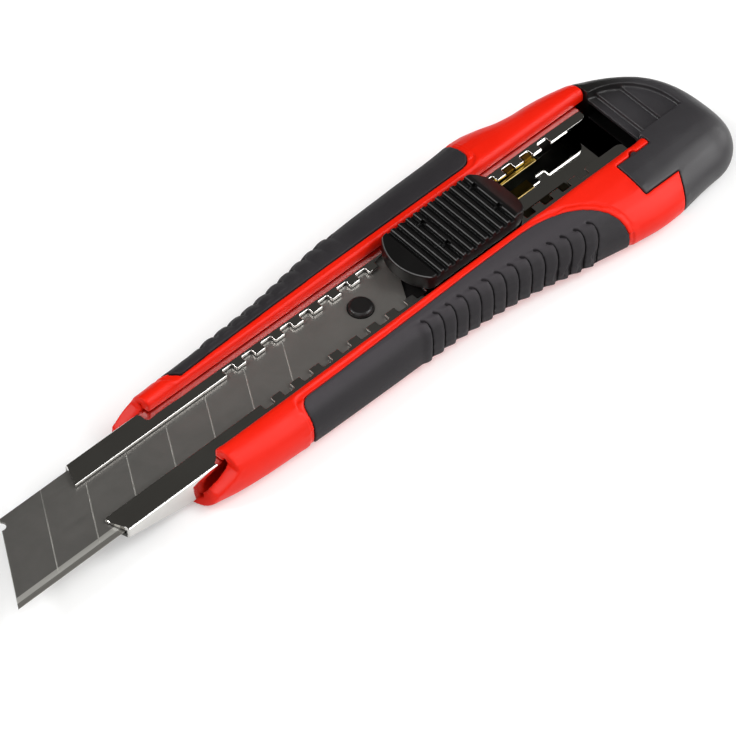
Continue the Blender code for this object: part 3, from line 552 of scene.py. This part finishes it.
def make_drawn_lines():
    """Fine lines along the knife, as rolling and grinding leave them on sheet."""
    tree, start, end = new_group("drawn_lines", [("Across", 9000.0), ("Along", 120.0)], ["Lines"])
    along, across = start.outputs["Along"], start.outputs["Across"]
    stretch = add_node(
        tree, "ShaderNodeCombineXYZ", {"X": along, "Y": across, "Z": across}).outputs["Vector"]
    pulled = add_node(
        tree, "ShaderNodeVectorMath", {0: own_place(tree), 1: stretch}, operation="MULTIPLY")
    lines = add_node(
        tree, "ShaderNodeTexNoise", {"Vector": pulled.outputs["Vector"], "Scale": 1.0, "Detail": 2.0})
    tree.links.new(lines.outputs["Fac"], end.inputs["Lines"])
    return tree


def use_group(tree, group, **values):
    """Place one of the shared effects in a material."""
    made = tree.nodes.new("ShaderNodeGroup")
    made.node_tree = group
    for name, value in values.items():
        made.inputs[name].default_value = value
    return made


def moulded_material(name, colours, gloss, grain, specular, tints=()):
    """A moulded plastic or rubber: fine grain, uneven gloss, and two close colours in patches.

    Gloss is the roughness of the two patches and grain is a scale and a height. Each tint is
    a mask function and the colour that it paints where it marks; the tints paint highlights, sheen and shade.
    """
    material, tree, shader = new_material(name)
    grain_scale, grain_height = grain
    fine = use_group(tree, GRAIN, Scale=grain_scale)
    patches = use_group(tree, MARKS).outputs["Patches"]
    colour = blend_colours(tree, patches, *colours)
    for mask, tint in tints:
        colour = blend_colours(tree, mask(tree), colour, tint)
    tree.links.new(colour, shader.inputs["Base Color"])
    roughness = between(tree, patches, 0.0, 1.0, *gloss)
    roughness = math_node(tree, "MULTIPLY_ADD", fine.outputs["Peaks"], GRAIN_ROUGHENS, roughness)
    tree.links.new(roughness, shader.inputs["Roughness"])
    shader.inputs["Specular IOR Level"].default_value = specular
    add_bump(tree, shader, fine.outputs["Height"], strength=0.35, distance=grain_height)
    return material


def groove_painted_shade(tree):
    """Mask of painted shade in the slider's grooves, by their depth below its ribs."""
    axes = place_axes(tree)
    return overlap(
        tree,
        short_of(tree, axes["Z"], SLIDER_HIGH.z - GROOVE_TOP, GROOVE_FADE),
        short_of(tree, from_middle(tree, axes), SLIDER_HIGH.y - MIDDLE_Y - GROOVE_SIDE, GROOVE_FADE),
        beyond(tree, axes["X"], SLIDER_LOW.x + GROOVE_FRONT, GROOVE_FRONT_FADE),
        short_of(tree, axes["X"], SLIDER_HIGH.x - GROOVE_REAR, GROOVE_REAR_FADE))


def rib_painted_highlights(tree, from_front):
    """Mask of a thin painted highlight along each of the slider's ribs."""
    line = PALE_LINE / RIB_PITCH
    from_rib = math_node(tree, "SUBTRACT", from_front, RIB_INSET + PALE_SHIFT - RIB_PITCH / 2)
    turn = math_node(tree, "FRACT", math_node(tree, "DIVIDE", from_rib, RIB_PITCH))
    off_line = math_node(tree, "ABSOLUTE", math_node(tree, "SUBTRACT", turn, 1 / 2))
    return overlap(
        tree,
        short_of(tree, off_line, line, line / 2),
        beyond(tree, from_front, RIB_INSET - RIB_MARGIN, RIB_FADE),
        short_of(tree, from_front, LAST_RIB + RIB_MARGIN, RIB_FADE))


def pad_bow_painted_highlight(tree, axes, from_front):
    """Mask of a thin painted highlight along the bow of the slider's front pad."""
    across = math_node(tree, "SUBTRACT", axes["Y"], MIDDLE_Y)
    back = math_node(tree, "SUBTRACT", from_front, PAD_RADIUS)
    squares = math_node(tree, "MULTIPLY_ADD", across, across, math_node(tree, "MULTIPLY", back, back))
    off_bow = math_node(tree, "SUBTRACT", math_node(tree, "SQRT", squares), PAD_RADIUS - PAD_EDGE)
    return overlap(
        tree,
        short_of(tree, math_node(tree, "ABSOLUTE", off_bow), PALE_LINE, PALE_LINE / 2),
        short_of(tree, from_front, RIB_INSET - PAD_MARGIN, PAD_FADE))


def painted_highlight_lines(tree):
    """Mask of the painted highlight lines along the slider's ribs and front pad, near its top."""
    axes = place_axes(tree)
    from_front = math_node(tree, "SUBTRACT", axes["X"], SLIDER_LOW.x)
    lines = math_node(tree, "MAXIMUM", rib_painted_highlights(tree, from_front), pad_bow_painted_highlight(tree, axes, from_front))
    return overlap(tree, lines, beyond(tree, axes["Z"], SLIDER_HIGH.z - PALE_DEPTH, PALE_DEPTH_FADE))


def cap_hollow_painted_shade(tree):
    """Mask of painted shade on the cap's front wall and in its pocket, below its first step."""
    axes = place_axes(tree)
    return overlap(
        tree,
        short_of(tree, axes["X"], CAP_WALL_X + HOLLOW_LENGTH, HOLLOW_LENGTH_FADE),
        short_of(tree, from_middle(tree, axes), INNER_WALL + HOLLOW_MARGIN, HOLLOW_MARGIN),
        short_of(tree, axes["Z"], LIP_TOP + HOLLOW_TOP_MARGIN, HOLLOW_TOP_MARGIN * 2),
        beyond(tree, axes["Z"], CHANNEL_LOW.z - HOLLOW_MARGIN, HOLLOW_MARGIN))


def cap_far_side_painted_shade(tree):
    """Mask of painted shade on the cap's far side, which makes it darker than its near side."""
    return beyond(tree, place_axes(tree)["Y"], MIDDLE_Y + CAP_DARK_START, CAP_DARK_FADE)


def grip_top_painted_light(tree):
    """Mask of painted light on the lower grip's top, which makes it paler than its side."""
    axes = place_axes(tree)
    return overlap(
        tree,
        beyond(tree, axes["Z"], HANDLE_TOP - GRIP_PALE_DEPTH, GRIP_PALE_FADE),
        short_of(tree, axes["Y"], MIDDLE_Y, GRIP_PALE_SPREAD))


def far_rail_painted_sheen(tree):
    """Mask of a painted sheen on the far rail's inner wall above the lip, palest at the rear."""
    axes = place_axes(tree)
    wall_y = MIDDLE_Y + OUTER_WALL
    along = math_node(tree, "SUBTRACT", axes["X"], TIP_X)
    return overlap(
        tree,
        short_of(tree, axes["Y"], wall_y + RAIL_OUT, RAIL_OUT_FADE),
        beyond(tree, axes["Y"], wall_y - RAIL_IN, RAIL_IN_FADE),
        short_of(tree, axes["Z"], LIP_TOP + RAIL_HIGH, RAIL_HIGH_FADE),
        beyond(tree, axes["Z"], LIP_TOP - RAIL_LOW, RAIL_LOW_FADE),
        between(tree, along, RAIL_FAINT_PLACE, RAIL_FULL_PLACE, RAIL_FAINTEST, 1.0),
        beyond(tree, along, RAIL_START, RAIL_START_FADE))


def sheet_metal(name, colour, gloss, line_height, painted_shade):
    """A polished metal sheet with faint drawn lines and smudges.

    Gloss is the roughness of the two patches, and the last argument is the mask function, the colour and the
    roughness of a place painted dark as shade and made rougher.
    """
    material, tree, shader = new_material(name)
    shader.inputs["Metallic"].default_value = 1.0
    patches = use_group(tree, MARKS, Scale=90.0).outputs["Patches"]
    shade = blend_colours(tree, patches, colour, [value * SMUDGE_SHADE for value in colour])
    roughness = between(tree, patches, 0.0, 1.0, *gloss)
    mask, deep_colour, deep_roughness = painted_shade
    inside = mask(tree)
    shade = blend_colours(tree, inside, shade, deep_colour)
    spread = math_node(tree, "SUBTRACT", deep_roughness, roughness)
    roughness = math_node(tree, "MULTIPLY_ADD", inside, spread, roughness)
    tree.links.new(shade, shader.inputs["Base Color"])
    tree.links.new(roughness, shader.inputs["Roughness"])
    add_bump(tree, shader, use_group(tree, LINES).outputs["Lines"], strength=0.2, distance=line_height)
    return material


def channel_painted_shade(tree):
    """Mask of painted shade, with a rougher finish, on the channel's inner walls and the undersides of its
    lips.
    """
    axes = place_axes(tree)
    return overlap(
        tree,
        short_of(tree, from_middle(tree, axes), INNER_WALL + DULL_OUT, DULL_FADE),
        short_of(tree, axes["Z"], LIP_UNDER + DULL_HIGH, DULL_FADE),
        beyond(tree, axes["Z"], FLOOR_TOP + DULL_LOW, DULL_FADE))


def leaf_painted_shade(tree):
    """Mask of painted shade on the leaf's near half, under the near lip."""
    return short_of(tree, place_axes(tree)["Y"], MIDDLE_Y + LEAF_FADE / 2, LEAF_FADE)


def on_scores(tree, along, from_edge, in_grind):
    """Mask of the blade's slanted score lines, which stop at the ground strip and grow faint at the back."""
    slanted = math_node(tree, "MULTIPLY_ADD", from_edge, -1.0 / math.tan(SCORE_ANGLE), along)
    folded = math_node(tree, "PINGPONG", slanted, SCORE_PITCH)
    near_score = math_node(tree, "MINIMUM", folded, math_node(tree, "SUBTRACT", SCORE_PITCH, folded))
    back = BLADE_HIGH.y - EDGE_Y - SCORE_BACK_MARGIN
    return overlap(
        tree,
        between(tree, near_score, SCORE_LINE, SCORE_CORE),
        short_of(tree, slanted, LAST_SCORE, LAST_SCORE_FADE),
        math_node(tree, "SUBTRACT", 1.0, in_grind),
        between(tree, from_edge, back, GRIND_STRIP + SCORE_FULL_BESIDE_STRIP, SCORE_FAINTEST, 1.0))


def blade_material():
    """Dark satin steel with pale score lines, a bright ground strip and a darker edge bevel."""
    material, tree, shader = new_material("blade_steel")
    lines = use_group(tree, LINES).outputs["Lines"]
    patches = use_group(tree, MARKS, Scale=120.0).outputs["Patches"]
    axes = place_axes(tree)
    from_edge = math_node(tree, "SUBTRACT", axes["Y"], EDGE_Y)
    along = math_node(tree, "SUBTRACT", axes["X"], TIP_X)
    in_grind = short_of(tree, from_edge, GRIND_STRIP + STRIP_FADE, STRIP_FADE)
    on_bevel = short_of(tree, from_edge, EDGE_BEVEL + STRIP_FADE, STRIP_FADE)
    on_strip = math_node(tree, "SUBTRACT", in_grind, on_bevel)
    rearward = between(tree, along, 0.0, BLADE_HIGH.x - TIP_X)
    rearward = math_node(tree, "MULTIPLY", rearward, 1.0 - BLADE_PATCH_SHARE)
    paler = math_node(tree, "MULTIPLY_ADD", patches, BLADE_PATCH_SHARE, rearward)
    colour = blend_colours(tree, paler, BLADE_FRONT_COLOUR, BLADE_REAR_COLOUR)
    colour = blend_colours(tree, on_bevel, colour, BEVEL_COLOUR)
    colour = blend_colours(tree, on_strip, colour, STRIP_COLOUR)
    colour = blend_colours(tree, on_scores(tree, along, from_edge, in_grind), colour, SCORE_COLOUR)
    tree.links.new(colour, shader.inputs["Base Color"])
    shader.inputs["Metallic"].default_value = BLADE_METAL
    tree.links.new(between(tree, lines, *BLADE_LINE_RANGE, *BLADE_GLOSS), shader.inputs["Roughness"])
    add_bump(tree, shader, lines, strength=0.25, distance=0.00002)
    return material


def raise_scales(piece):
    """Swell the lower grip into overlapping scales, each highest just ahead of its crescent groove."""
    points, normals = mesh_points(piece), mesh_normals(piece)
    x = points[:, 0] - TIP_X
    y = points[:, 1] - MIDDLE_Y
    first_place = SCALE_START - SCALE_PITCH * SCALES_READ_BEFORE
    last_place = SCALE_START + SCALE_PITCH * (SCALE_COUNT + SCALES_READ_AFTER)
    places = np.arange(first_place, last_place, SCALE_PITCH)
    edges = np.array([y[np.abs(x - place) < SCALE_PITCH / 2].min() for place in places])
    edge = np.interp(x, places, edges)
    first_edge = np.interp(SCALE_START, places, edges)
    middle = -SCALE_MIDDLE + SCALE_FOLLOW * (edge - first_edge)
    offset = y - middle
    hook = np.clip(offset / SCALE_HOOK_RADIUS, 0.0, 1.0)
    bow = np.clip(-offset / SCALE_BOW_RADIUS, 0.0, 1.0)
    lag = SCALE_HOOK_RADIUS * (1 - np.sqrt(1 - hook**2)) + SCALE_BOW_RADIUS * (1 - np.sqrt(1 - bow**2))
    turn = (x + lag - SCALE_START) / SCALE_PITCH
    share = turn - np.floor(turn)
    rise = ease(share / SCALE_SLOPE) * ease((1.0 - share) / SCALE_DROP)
    rise *= ease((turn + 1.0) / SCALE_LEAD_IN)
    rise *= ease((SCALE_COUNT - 1 + SCALE_RUN_OUT - turn) / SCALE_RUN_OUT)
    rise *= ease((SCALE_HOOK_RADIUS * SCALE_HEAD - offset) / SCALE_HOOK_RADIUS)
    outward = ease((normals[:, 2] * SCALE_UPWARD - normals[:, 1]) / SCALE_FACING)
    move_points(piece, points + normals * (SCALE_RISE * rise * outward)[:, None])


def raise_bumps(piece):
    """Swell the upper grip's outer side into round bumps between its grooves."""
    points, normals = mesh_points(piece), mesh_normals(piece)
    turn = (points[:, 0] - TIP_X - BUMP_START) / BUMP_PITCH
    inside = (turn > 0.0) & (turn < BUMP_COUNT - 1)
    rise = np.where(inside, np.abs(np.sin(math.pi * turn)), 0.0)
    outward = ease(normals[:, 1] / BUMP_FACING)
    move_points(piece, points + normals * (BUMP_RISE * rise * outward)[:, None])


def thicken_nose(piece):
    """Bring the walls of the nose's hollow in toward the channel, so that its open rim is thick."""
    points, normals = mesh_points(piece), mesh_normals(piece)
    from_tip = points[:, 0] - TIP_X
    out = points[:, 1] - MIDDLE_Y
    away = np.sign(out)
    facing_in = ease(-normals[:, 1] * away / NOSE_FACING)
    outside = ease((np.abs(out) - OUTER_WALL - NOSE_CLEAR) / NOSE_CLEAR)
    fade = ease((NOSE_THICK_END - from_tip) / NOSE_THICK_FADE)
    points[:, 1] -= away * NOSE_THICKEN * facing_in * outside * fade
    move_points(piece, points)


def raise_grip_bead(piece, grip):
    """Raise a rounded bead on the body all along the visible border of a grip."""
    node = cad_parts[grip]
    border = BVHTree.FromPolygons(
        [corner.co for corner in node.data.vertices], [tuple(face.vertices) for face in node.data.polygons])
    low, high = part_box(grip)
    points, normals = mesh_points(piece), mesh_normals(piece)
    near = np.all((points > np.array(low) - BEAD_WIDTH) & (points < np.array(high) + BEAD_WIDTH), axis=1)
    near &= np.abs(points[:, 1] - MIDDLE_Y) > OUTER_WALL + BEAD_CLEAR
    for index in np.flatnonzero(near & (normals[:, 2] > BEAD_FACING)):
        distance = border.find_nearest(Vector(points[index]))[3]
        across = 2.0 * distance / BEAD_WIDTH - 1.0
        if abs(across) < 1.0:
            points[index] += normals[index] * (BEAD_RISE * (1.0 - across**2)**BEAD_FULLNESS)
    move_points(piece, points)


def dress_handle():
    """The red moulded body, softest round its open nose."""
    shell = soft_moulding("handle_body", "handle_shell", HANDLE_ROUNDS)
    thicken_nose(shell)
    raise_grip_bead(shell, "lower_grip")
    raise_grip_bead(shell, "upper_grip")
    from_tip = mesh_points(shell)[:, 0] - TIP_X
    soften_zone(shell, ease((NOSE_SOFT_END - from_tip) / NOSE_SOFT_FADE), NOSE_ROUNDS)
    thin_out(shell)
    hand_over(shell, "handle_body", "handle", RED_MOULDING)


def dress_grips():
    """The two soft grips."""
    near = soft_moulding("lower_grip", "lower_grip_rubber", GRIP_ROUNDS)
    raise_scales(near)
    hand_over(near, "lower_grip", "handle", SOFT_RUBBER)
    far = soft_moulding("upper_grip", "upper_grip_rubber", GRIP_ROUNDS)
    raise_bumps(far)
    hand_over(far, "upper_grip", "handle", SOFT_RUBBER)


def on_lip_edge(points):
    """Which points lie on the top edges of the lips, where these face each other."""
    return (np.abs(points[:, 1] - MIDDLE_Y) < LIP_REACH) & (points[:, 2] > LIP_TOP - MERGE_GAP)


def near_fold(points):
    """Which points lie on the channel's two upper folds."""
    side = np.abs(points[:, 1] - MIDDLE_Y)
    return (side > OUTER_WALL - FOLD_REACH) & (points[:, 2] > LIP_TOP - FOLD_REACH)


def widen_folds(piece):
    """Give the channel's upper folds their full radius, about its outer corners."""
    points = mesh_points(piece)
    away = np.sign(points[:, 1] - MIDDLE_Y)
    corner_y = MIDDLE_Y + away * OUTER_WALL
    on_fold = (np.abs(points[:, 1] - corner_y) < FOLD_ZONE) & (LIP_TOP - points[:, 2] < FOLD_ZONE)
    points[on_fold, 1] = corner_y[on_fold] + (points[on_fold, 1] - corner_y[on_fold]) * FOLD_WIDEN
    points[on_fold, 2] = LIP_TOP + (points[on_fold, 2] - LIP_TOP) * FOLD_WIDEN
    move_points(piece, points)


def dress_metal():
    """The plated channel, the blade and the brass leaf."""
    channel = merged_copy("blade_channel", "plated_channel")
    widen_folds(channel)
    round_some_edges(channel, FOLD_ROUND, segments=4, inside=near_fold)
    round_some_edges(channel, LIP_ROUND, segments=1, inside=on_lip_edge)
    round_edges(channel, CHANNEL_ROUND, segments=2)
    hand_over(channel, "blade_channel", "handle", PLATED_SHEET)
    blade = merged_copy("blade", "scored_blade")
    round_edges(blade, BLADE_ROUND, segments=1)
    hand_over(blade, "blade", "carriage", BLADE_STEEL)
    leaf = merged_copy("lock_spring", "brass_leaf")
    round_edges(leaf, LEAF_ROUND, segments=2)
    hand_over(leaf, "lock_spring", "leaf", BRASS_SHEET)


def dress_plastics():
    """The carrier with its stud, the ribbed slider and the tail cap."""
    carrier = merged_copy("blade_carrier", "carrier_and_stud")
    round_edges(carrier, CARRIER_ROUND, segments=2)
    hand_over(carrier, "blade_carrier", "carriage", BLACK_MOULDING)
    slider = merged_copy("thumb_slider", "ribbed_slider")
    round_edges(slider, SLIDER_ROUND)
    hand_over(slider, "thumb_slider", "button", SLIDER_MOULDING)
    cap = soft_moulding("end_cap", "tail_cap", CAP_ROUNDS)
    hand_over(cap, "end_cap", "cap", CAP_MOULDING)


def cap_wall():
    """Where the cap's front wall stands behind the channel."""
    points = mesh_points(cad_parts["end_cap"])
    return points[np.abs(points[:, 1] - MIDDLE_Y) < SILL_HALF][:, 0].min()


def make_cap_sill():
    """The cap's black sill, which closes the handle's floor between the channel and the cap."""
    low = Vector((CHANNEL_REAR + SILL_GAP, MIDDLE_Y - SILL_HALF, CHANNEL_LOW.z - SILL_DROP))
    high = Vector((CAP_WALL_X + SILL_OVERLAP, MIDDLE_Y + SILL_HALF, FLOOR_TOP))
    bpy.ops.object.select_all(action="DESELECT")
    bpy.ops.mesh.primitive_cube_add(size=1.0, location=(low + high) / 2, scale=high - low)
    sill = bpy.context.object
    sill.name = "cap_sill"
    bpy.ops.object.transform_apply(location=True, rotation=True, scale=True)
    bpy.ops.object.mode_set(mode="EDIT")
    bpy.ops.mesh.select_all(action="SELECT")
    bpy.ops.mesh.bevel(offset=SILL_ROUND, segments=3, affect="EDGES")
    bpy.ops.object.mode_set(mode="OBJECT")
    smooth_shade(sill)
    put_on(sill, "cap", BLACK_MOULDING)


def make_detent_nub():
    """The cap's nub, which snaps into the notch in the handle's tongue."""
    top = HANDLE_TOP - NUB_ROUND
    middle = (CAP_WALL_X - NUB_AHEAD_OF_WALL, MIDDLE_Y - NUB_SIDE, top - NUB_HEIGHT / 2)
    bpy.ops.object.select_all(action="DESELECT")
    bpy.ops.mesh.primitive_cylinder_add(
        vertices=NUB_SIDES, radius=NUB_RADIUS, depth=NUB_HEIGHT, location=middle)
    nub = bpy.context.object
    nub.name = "cap_detent_nub"
    bpy.ops.object.transform_apply(location=True, rotation=True, scale=True)
    round_edges(nub, NUB_ROUND)
    put_on(nub, "cap", CAP_MOULDING)


def make_floor():
    """A large pale floor that shows white and keeps the knife's shadow."""
    bpy.ops.object.select_all(action="DESELECT")
    bpy.ops.mesh.primitive_plane_add(size=FLOOR_SIZE, location=(0, 0, cad_box[0][2]))
    floor = bpy.context.object
    floor.name = "studio_floor"
    material, tree, shader = new_material("pale_floor")
    shader.inputs["Base Color"].default_value = FLOOR_GREY
    shader.inputs["Roughness"].default_value = FLOOR_ROUGHNESS
    shader.inputs["Specular IOR Level"].default_value = 0.0
    path = add_node(tree, "ShaderNodeLightPath").outputs
    seen = math_node(tree, "ADD", path["Is Camera Ray"], path["Is Glossy Ray"])
    seen = math_node(tree, "ADD", seen, path["Is Transmission Ray"])
    shader.inputs["Emission Color"].default_value = WHITE
    tree.links.new(math_node(tree, "MULTIPLY", seen, FLOOR_GLOW), shader.inputs["Emission Strength"])
    floor.data.materials.append(material)


def make_world():
    """A grey room, darker in the part of it that the channel's lips mirror and along its horizon."""
    world = bpy.data.worlds.new("studio_room")
    bpy.context.scene.world = world
    world.use_nodes = True
    tree = world.node_tree
    direction = add_node(tree, "ShaderNodeTexCoord").outputs["Generated"]
    facing = add_node(tree, "ShaderNodeVectorMath", {0: direction, 1: LIP_MIRROR}, operation="DOT_PRODUCT")
    level = between(tree, facing.outputs["Value"], *ROOM_TURN, ROOM_PALE, ROOM_DARK)
    height = add_node(tree, "ShaderNodeSeparateXYZ", {0: direction}).outputs["Z"]
    above_horizon = between(tree, height, 0.0, HORIZON_HEIGHT, HORIZON_SHARE, 1.0)
    background = tree.nodes["Background"]
    background.inputs["Color"].default_value = ROOM_COLOUR
    tree.links.new(overlap(tree, level, above_horizon), background.inputs["Strength"])


def make_lamp(name, direction, width, power):
    """A square soft lamp aimed at the knife from one direction."""
    lamp = bpy.data.lights.new(name, "AREA")
    lamp.shape = "SQUARE"
    lamp.size = width
    lamp.energy = power
    holder = bpy.data.objects.new(name, lamp)
    bpy.context.scene.collection.objects.link(holder)
    aim = Vector(direction).normalized()
    holder.location = aim * LAMP_DISTANCE
    holder.rotation_euler = aim.to_track_quat("Z", "Y").to_euler()


def make_lamps():
    """A key lamp at the near right, sheen from above it, and lamps overhead and round the knife."""
    make_lamp("key_lamp", (0.45, -0.74, 0.50), width=1.0, power=9.5)
    make_lamp("sheen_lamp", (0.52, -0.34, 0.78), width=0.6, power=8.0)
    make_lamp("top_lamp", (-0.30, -0.10, 0.95), width=1.0, power=5.5)
    make_lamp("fill_lamp", (-0.80, -0.35, 0.50), width=0.9, power=3.0)
    make_lamp("tail_lamp", (0.94, -0.16, 0.30), width=0.7, power=5.5)
    make_lamp("blade_rim_lamp", (-0.60, 0.40, 0.69), width=0.4, power=8.0)


def make_camera():
    """The camera at the fitted viewing angle."""
    camera = bpy.data.cameras.new("camera")
    camera.lens = CAMERA_LENS
    camera.sensor_width = SENSOR_WIDTH
    holder = bpy.data.objects.new("camera", camera)
    bpy.context.scene.collection.objects.link(holder)
    holder.location = CAMERA_PLACE
    holder.rotation_euler = [math.radians(angle) for angle in CAMERA_TURN]
    bpy.context.scene.camera = holder


CAP_WALL_X = cap_wall()
GRAIN = make_moulding_grain()
MARKS = make_handling_marks()
LINES = make_drawn_lines()
# The red moulding's tint is a painted sheen on the far rail's inner wall.
RED_MOULDING = moulded_material(
    "red_moulding", colours=((0.80, 0.011, 0.0015), (0.84, 0.014, 0.003)), gloss=(0.38, 0.44),
    grain=(2600.0, 0.00003), specular=0.22, tints=[(far_rail_painted_sheen, (0.95, 0.58, 0.52))])
# The rubber's tint is painted light on the lower grip's top.
SOFT_RUBBER = moulded_material(
    "soft_rubber", colours=((0.0215, 0.0195, 0.022), (0.027, 0.0245, 0.027)), gloss=(0.56, 0.64),
    grain=(3200.0, 0.00006), specular=0.22, tints=[(grip_top_painted_light, (0.045, 0.040, 0.045))])
BLACK_MOULDING = moulded_material(
    "black_moulding", colours=((0.008, 0.0075, 0.0075), (0.011, 0.010, 0.010)), gloss=(0.30, 0.36),
    grain=(3000.0, 0.00003), specular=0.4)
# The slider's tints are painted shade in its grooves and painted highlights along its ribs and front pad.
SLIDER_MOULDING = moulded_material(
    "slider_moulding", colours=((0.005, 0.0047, 0.0047), (0.007, 0.0066, 0.0066)), gloss=(0.30, 0.36),
    grain=(3000.0, 0.00001), specular=0.24,
    tints=[(groove_painted_shade, (0.0015, 0.0015, 0.0015)), (painted_highlight_lines, (0.11, 0.11, 0.11))])
# The cap's tints are painted shade on its far side and in its hollow.
CAP_MOULDING = moulded_material(
    "cap_moulding", colours=((0.028, 0.0262, 0.029), (0.033, 0.031, 0.034)), gloss=(0.38, 0.46),
    grain=(3000.0, 0.00004), specular=0.46,
    tints=[(cap_far_side_painted_shade, (0.007, 0.0065, 0.006)), (cap_hollow_painted_shade, (0.0015, 0.0015, 0.0015))])
# The plated sheet is painted dark, as shade, inside the channel and under its lips.
PLATED_SHEET = sheet_metal(
    "plated_sheet", colour=(0.64, 0.63, 0.61), gloss=(0.04, 0.08), line_height=0.000002,
    painted_shade=(channel_painted_shade, (0.07, 0.07, 0.065), 0.35))
# The brass is painted dark, as shade, on the leaf's near half under the lip.
BRASS_SHEET = sheet_metal(
    "brass_sheet", colour=(0.27, 0.18, 0.032), gloss=(0.30, 0.38), line_height=0.00001,
    painted_shade=(leaf_painted_shade, (0.03, 0.025, 0.015), 0.4))
BLADE_STEEL = blade_material()

dress_handle()
dress_grips()
dress_metal()
dress_plastics()
make_cap_sill()
make_detent_nub()
make_floor()
make_world()
make_lamps()
make_camera()

bpy.context.scene.view_settings.view_transform = "Standard"
